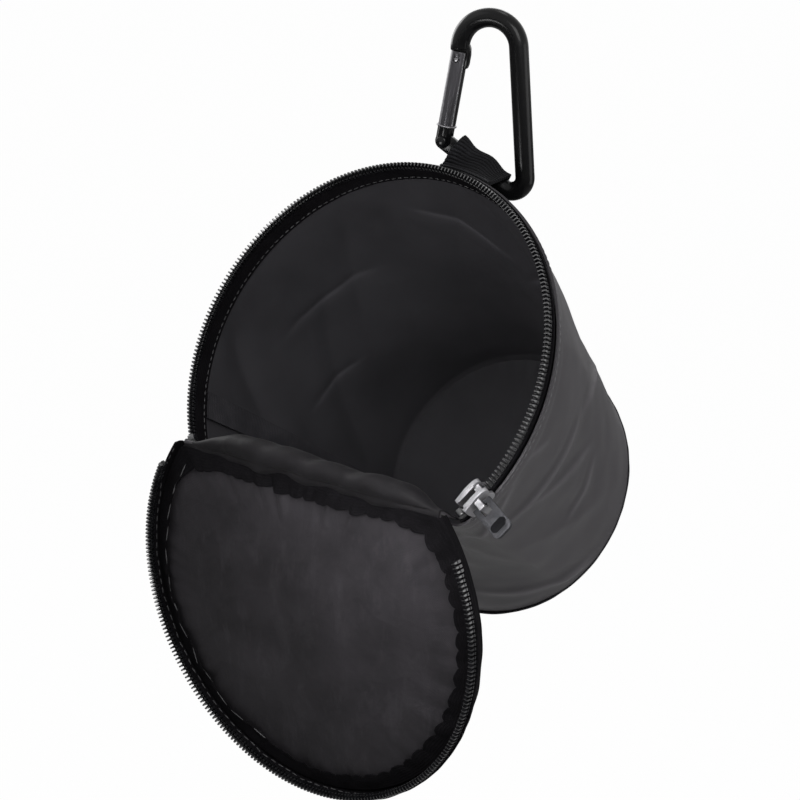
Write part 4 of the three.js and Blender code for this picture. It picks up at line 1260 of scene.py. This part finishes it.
class PEGBAG_OT_carabiner(bpy.types.Operator):
    """Bends the carabiner's rod, and finishes its gate, rivet, latch and spring"""

    bl_idname = "pegbag.carabiner"
    bl_label = "Carabiner"

    def execute(self, context):
        sizes, colours = context.scene.pegbag_carabiner, context.scene.pegbag_colours
        lean, slope = sizes.spine_lean, sizes.bar_slope
        crown = Vector((0, 0, sizes.rod - sizes.crown))
        nose_turn = pi + sizes.nose_drop

        def around(middle, radius, turn):
            return middle + Vector((radius * cos(turn), 0, radius * sin(turn)))

        down = Vector((sin(lean), 0, -cos(lean))) * sizes.spine
        spine_foot = around(crown, sizes.crown, lean) + down
        heel = around(spine_foot, -sizes.heel, lean)
        heel_turn = lean + pi / 2 + slope
        bar_way = Vector((-cos(slope), 0, sin(slope)))
        nose = around(crown, sizes.crown, nose_turn)
        bar_end = around(heel, sizes.heel, lean - heel_turn) + bar_way * sizes.bar

        deselect()
        options = {"location": nose, "rotation": (0, -nose_turn, 0)}
        bpy.ops.mesh.primitive_circle_add(vertices=32, radius=sizes.rod, **options)
        rod = bpy.context.object
        bpy.ops.object.transform_apply()

        def bend():
            turn = nose_turn - lean
            bpy.ops.mesh.spin(steps=44, angle=-turn, center=crown, axis=(0, 1, 0))
            bpy.ops.mesh.extrude_region_move(TRANSFORM_OT_translate={"value": down})
            bpy.ops.mesh.spin(steps=28, angle=-heel_turn, center=heel, axis=(0, 1, 0))
            bpy.ops.mesh.extrude_region_move(TRANSFORM_OT_translate={"value": bar_way * sizes.bar})
            bpy.ops.mesh.select_all(action="SELECT")
            bpy.ops.mesh.fill_holes(sides=0)
            bpy.ops.mesh.select_all(action="SELECT")
            merge()
            turn_outwards()

        in_edit_mode(rod, bend)
        ease_edges(rod, width=0.0005, limit=50, segments=3)

        # The gate's own frame at its pivot, with z along the gate
        pivot = CARABINER.inverted() @ GATE_PIVOT
        along = nose - pivot
        reach, gate_lean = along.length, atan2(along.x, along.z)
        gate_place = Matrix.Translation(pivot) @ Matrix.Rotation(gate_lean, 4, "Y")
        lug = lug_plate(gate_place, bar_end, sizes.rod)
        body = join([rod, *nose_plates(gate_place, reach), lug])
        body.name = body.data.name = "carabiner_rod"
        body.data.transform(CARABINER)
        smooth(body, limit=35)
        black_coat = coated_metal("black_coat", colours.black_metal)
        dress(body, "carabiner", "black_metal", black_coat, replaced=["carabiner_body"])

        gate_metal = bare_metal("gate_metal", colours.gate_metal, rough=0.28, grain=0.00004)
        steel = bare_metal("steel", shade(colours.slider, 0.6), rough=0.3, grain=0.00004)
        gate = copy_of_node("carabiner_gate", bevel=0.00025)
        gate_way = (CARABINER.to_3x3() @ along).normalized()
        fork = 0.0056
        foot = GATE_PIVOT + gate_way * fork
        in_edit_mode(gate, lambda: bpy.ops.mesh.bisect(plane_co=foot, plane_no=gate_way))
        dress(gate, "gate", "gate_metal", gate_metal, black_coat, steel, replaced=["carabiner_gate"])
        inwards = CARABINER.to_3x3() @ Matrix.Rotation(gate_lean, 3, "Y") @ Vector((1, 0, 0))
        channel = radians(36)
        # Below the foot the fork takes the black coat. The faces of the channel's opening take it too,
        # a painted shade of the open slot, and the up-facing faces at the gate's top take the lighter
        # steel, a painted highlight.
        dark, bright = 1, 2
        for face in gate.data.polygons:
            up_gate = (face.center - GATE_PIVOT).dot(gate_way)
            if (face.center - foot).dot(gate_way) < 0 or face.normal.dot(inwards) > cos(channel):
                face.material_index = dark
            elif face.normal.dot(gate_way) > 0.6 and up_gate > 0.95 * reach:
                face.material_index = bright
        smooth(gate, limit=35)

        collar = sleeve_trim(foot, gate_way, inwards, reach, channel)
        collar.name = collar.data.name = "gate_trim"
        smooth(collar, limit=60)
        dress(collar, "gate", "gate_metal", steel)
        small_edge, wire_edge = 0.0001, 0.00002
        rivet = copy_of_node("gate_rivet", small_edge)
        dress(rivet, "carabiner", "steel", black_coat, replaced=["gate_rivet"])
        latch_pin = copy_of_node("latch_pin", small_edge)
        dress(latch_pin, "gate", "steel", steel, replaced=["latch_pin"])
        spring = copy_of_node("gate_spring", wire_edge, limit=75)
        dress(spring, "gate", "steel", steel, replaced=["gate_spring"])
        return {"FINISHED"}


class PEGBAG_OT_slider(bpy.types.Operator):
    """Finishes the zip's slider and its pull tab"""

    bl_idname = "pegbag.slider"
    bl_label = "Slider"

    def execute(self, context):
        colours = context.scene.pegbag_colours
        slider = copy_of_node("slider_body", bevel=0.0003)
        silver = bare_metal("slider_metal", colours.slider, rough=0.48, grain=0.0002)
        dress(slider, "slider", "slider_metal", silver, replaced=["slider_body"])
        tab = copy_of_node("pull_tab", bevel=0.0003)
        dark = bare_metal("tab_metal", colours.tab, rough=0.5, grain=0.00015)
        dress(tab, "pull_tab", "tab_metal", dark, replaced=["pull_tab"])

        # The dark oval plate that fills the tab's hole, painted shade that stands for the shaded hole,
        # drawn along the tab from its pivot
        pivot, tab_across = joint_place("tab_pivot")
        points = [vertex.co for vertex in tab.data.vertices]
        away = sum(points, Vector()) / len(points) - pivot
        tab_way = (away - tab_across * away.dot(tab_across)).normalized()
        turned = Matrix((tab_across, tab_way.cross(tab_across), tab_way)).transposed().to_4x4()
        middle, half, radius, thickness, steps = 0.0098, 0.0014, 0.0018, 0.0013, 32
        outline = []
        for step in range(steps):
            turn = 2 * pi * (step + 0.5) / steps
            side = half if cos(turn) > 0 else -half
            outline.append((radius * cos(turn) + side, middle + radius * sin(turn)))
        oval = plate("tab_oval", outline, thickness, Matrix.Translation(pivot) @ turned)
        smooth(oval, limit=40)
        # A matte dark fill: painted shade of the tab's hole.
        hole_shade = moulded_plastic("painted_hole_shade", colours.teeth, rough=0.6, shine=0.05)
        dress(oval, "pull_tab", "zip_teeth", hole_shade)
        return {"FINISHED"}


def stitch_row(name, target, points, thread, length):
    """A row of stitches pressed into the surface of a finished piece."""
    points_of_target = [vertex.co for vertex in target.data.vertices]
    tree = BVHTree.FromPolygons(points_of_target, [face.vertices for face in target.data.polygons])
    deselect()
    bpy.ops.mesh.primitive_uv_sphere_add(segments=6, ring_count=4, radius=0.5, rotation=(0, pi / 2, 0))
    bpy.ops.object.transform_apply()
    stitch = bpy.context.object
    in_edit_mode(stitch, lambda: bpy.ops.transform.resize(value=(length, thread * 2, thread * 1.5)))
    path = Track(points)
    count = int(path.length / (length * 1.35))
    places = []
    for k in range(count):
        spots = [path.at((k + share) / count) for share in (0.35, 0.5, 0.65)]
        before, middle, after = (tree.find_nearest(spot) for spot in spots)
        up = middle[1]
        way = (after[0] - before[0]).normalized()
        side = up.cross(way).normalized()
        turned = Matrix((way, side, way.cross(side))).transposed().to_4x4()
        places.append(Matrix.Translation(middle[0] + up * thread * 0.2) @ turned)
    row = repeated(name, stitch, places)
    smooth(row, limit=70)
    return row


class PEGBAG_OT_stitching(bpy.types.Operator):
    """Sews the hem, the tape, the base and the lid"""

    bl_idname = "pegbag.stitching"
    bl_label = "Stitching"

    def execute(self, context):
        scene = context.scene
        bag, lid = scene.pegbag_bag, scene.pegbag_lid
        thread = twisted_thread("thread", scene.pegbag_colours.thread)
        dark = twisted_thread("dark_thread", shade(scene.pegbag_colours.thread, 0.35))
        faint = twisted_thread("faint_thread", shade(scene.pegbag_colours.thread, 0.5))
        turn = zip_turn(bag)

        def ring(low, high, z, inset, matrix=MOUTH):
            return [matrix @ wall_point(bag, lerp(low, high, k / 200), z, inset) for k in range(201)]

        def sew(name, target, points, material, body, length=0.002):
            thread_radius = 0.00022
            piece = stitch_row(name, bpy.data.objects[target], points, thread_radius, length)
            dress(piece, body, "black_tape", material)

        sew("hem_stitches", "wall", ring(-turn, turn, -bag.hem_drop - 0.0016, 0.0), thread, "bag")
        sew("tape_stitches", "bag_tape", ring(-turn, turn, -0.0076, 0.004), dark, "bag")
        under = ring(-pi, pi, -bag.depth - 0.002, 0.0045)
        sew("binding_stitches", "base_binding_tape", under, dark, "bag")
        top = lid.height + 0.0012
        outer = ring(-turn, turn, top, bag.wall_out + 0.0024, LID)
        sew("lid_stitches", "lid_tape_band", outer, dark, "lid")
        inner = ring(-turn, turn, lid.height - 0.0027, bag.wall_out + 0.003, LID)
        sew("lid_inner_stitches", "lid_tape_band", inner, dark, "lid", 0.0026)
        # A faint thread of long stitches along the seam allowance's inner edge; its light line also
        # stands for the fold there, a painted highlight.
        inset = bag.wall_out + lid.edge + lid.seam_width - 0.0006
        edge = ring(-turn, -0.3, lid.height - 0.005, inset, LID)
        sew("lid_edge_thread_and_highlight", "lid_frayed_seam", edge, faint, "lid", 0.007)
        return {"FINISHED"}


class PEGBAG_OT_stage(bpy.types.Operator):
    """Sets the floor, the soft lamps, the white surroundings and the camera"""

    bl_idname = "pegbag.stage"
    bl_label = "Stage"

    def execute(self, context):
        scene = context.scene
        deselect()
        floor_size, floor_height = 30, -0.55
        bpy.ops.mesh.primitive_plane_add(size=floor_size, location=(0, 0, floor_height))
        floor = bpy.context.object
        floor.name = "floor"
        bpy.ops.object.transform_apply()
        paint = Finish("floor_paint")
        cloud = paint.noise(scale=3)
        white = scene.pegbag_colours.floor
        paint.set(Base_Color=paint.mix(cloud, shade(white, 0.55), shade(white, 0.6)), Roughness=0.9)
        plain = paint.node("ShaderNodeEmission", inputs={"Color": white, "Strength": 1.0})
        lit = Value(paint, paint.shader.outputs[0])
        # The camera sees plain white with a trace of the shadow
        whiteness = 0.985
        share = paint.rays("Camera") * whiteness
        blend = paint.node("ShaderNodeMixShader", inputs={0: share, 1: lit, 2: plain})
        paint.feed(paint.tree.nodes["Material Output"].inputs["Surface"], blend)
        floor.data.materials.append(paint.material)

        world = bpy.data.worlds.new("surroundings")
        world.use_nodes = True
        scene.world = world
        sky = Nodes(world.node_tree)
        seen = sky.rays("Camera", "Glossy", "Transmission")
        ambient = 0.22
        level = sky.node("ShaderNodeMapRange", inputs={"Value": seen, "To Min": ambient, "To Max": 1.0})
        background = sky.tree.nodes["Background"].inputs
        sky.feed(background["Strength"], level)
        sky.feed(background["Color"], (1, 1, 1, 1))

        def lamp(name, place, size, power, aim=(0, 0, 0), spread=180):
            """A square lamp. Its place and its aim are counted from the middle of the mouth."""
            data = bpy.data.lights.new(name, "AREA")
            data.size = size
            data.energy = power
            data.spread = radians(spread)
            made = new_object(name, data)
            made.location = MOUTH_MIDDLE + Vector(place)
            made.rotation_euler = (Vector(place) - Vector(aim)).to_track_quat("Z", "Y").to_euler()
            made.visible_camera = False

        lamp("key_lamp", (0.42, -0.26, 0.30), size=0.25, power=1.2)
        lamp("fill_lamp", (-0.5, -0.7, 0.9), size=0.8, power=1.3)
        lamp("right_lamp", (0.75, 0.35, -0.05), size=0.5, power=1.5)
        lamp("back_lamp", (-0.5, 0.9, 0.6), size=0.6, power=3.0)
        lamp("left_lamp", (-0.8, 0.15, 0.3), size=0.5, power=3.0)
        lamp("top_lamp", (0.1, 0.2, 0.8), size=0.2, power=0.5)
        narrow = {"aim": (0.04, -0.03, -0.06), "spread": 80}
        lamp("lid_lamp", (0.08, -0.14, 0.03), size=0.05, power=0.052, **narrow)
        narrow = {"aim": (0, 0.05, 0.05), "spread": 55}
        lamp("mouth_lamp", (0, -0.22, -0.02), size=0.08, power=0.03, **narrow)

        azimuth, elevation, distance = radians(39.1), radians(15.8), 0.6
        back = Vector((sin(azimuth) * cos(elevation), -cos(azimuth) * cos(elevation), sin(elevation)))
        view = bpy.data.cameras.new("camera")
        view.lens = 76.1
        view.sensor_width = 36
        view.shift_x = 0.054
        view.shift_y = -0.051
        view.clip_start = 0.01
        camera = new_object("camera", view)
        camera.location = MOUTH_MIDDLE + back * distance
        camera.rotation_euler = back.to_track_quat("Z", "Y").to_euler()
        scene.camera = camera
        scene.view_settings.view_transform = "Standard"
        return {"FINISHED"}


OPERATORS = (
    PEGBAG_OT_wall,
    PEGBAG_OT_base,
    PEGBAG_OT_zip,
    PEGBAG_OT_lid,
    PEGBAG_OT_hinge,
    PEGBAG_OT_loop,
    PEGBAG_OT_carabiner,
    PEGBAG_OT_slider,
    PEGBAG_OT_stitching,
    PEGBAG_OT_stage,
)
GROUPS = {
    "pegbag_bag": PEGBAG_PG_bag,
    "pegbag_zip": PEGBAG_PG_zip,
    "pegbag_lid": PEGBAG_PG_lid,
    "pegbag_loop": PEGBAG_PG_loop,
    "pegbag_carabiner": PEGBAG_PG_carabiner,
    "pegbag_colours": PEGBAG_PG_colours,
}


class PEGBAG_PT_panel(bpy.types.Panel):
    """Lists the bag's pieces and their sizes"""

    bl_idname = "PEGBAG_PT_panel"
    bl_label = "Peg Bag"
    bl_space_type = "VIEW_3D"
    bl_region_type = "UI"
    bl_category = "Peg Bag"

    def draw(self, context):
        for operator in OPERATORS:
            self.layout.operator(operator.bl_idname)
        for name, group in GROUPS.items():
            box = self.layout.box()
            box.label(text=group.__doc__)
            for prop in group.__annotations__:
                box.prop(getattr(context.scene, name), prop)


def register():
    for group in GROUPS.values():
        bpy.utils.register_class(group)
    for name, group in GROUPS.items():
        setattr(bpy.types.Scene, name, PointerProperty(type=group))
    for operator in OPERATORS:
        bpy.utils.register_class(operator)
    bpy.utils.register_class(PEGBAG_PT_panel)


def unregister():
    bpy.utils.unregister_class(PEGBAG_PT_panel)
    for operator in reversed(OPERATORS):
        bpy.utils.unregister_class(operator)
    for name, group in reversed(GROUPS.items()):
        delattr(bpy.types.Scene, name)
        bpy.utils.unregister_class(group)


def main():
    register()
    for operator in OPERATORS:
        getattr(bpy.ops.pegbag, operator.bl_idname.split(".")[1])()


if __name__ == "__main__":
    main()
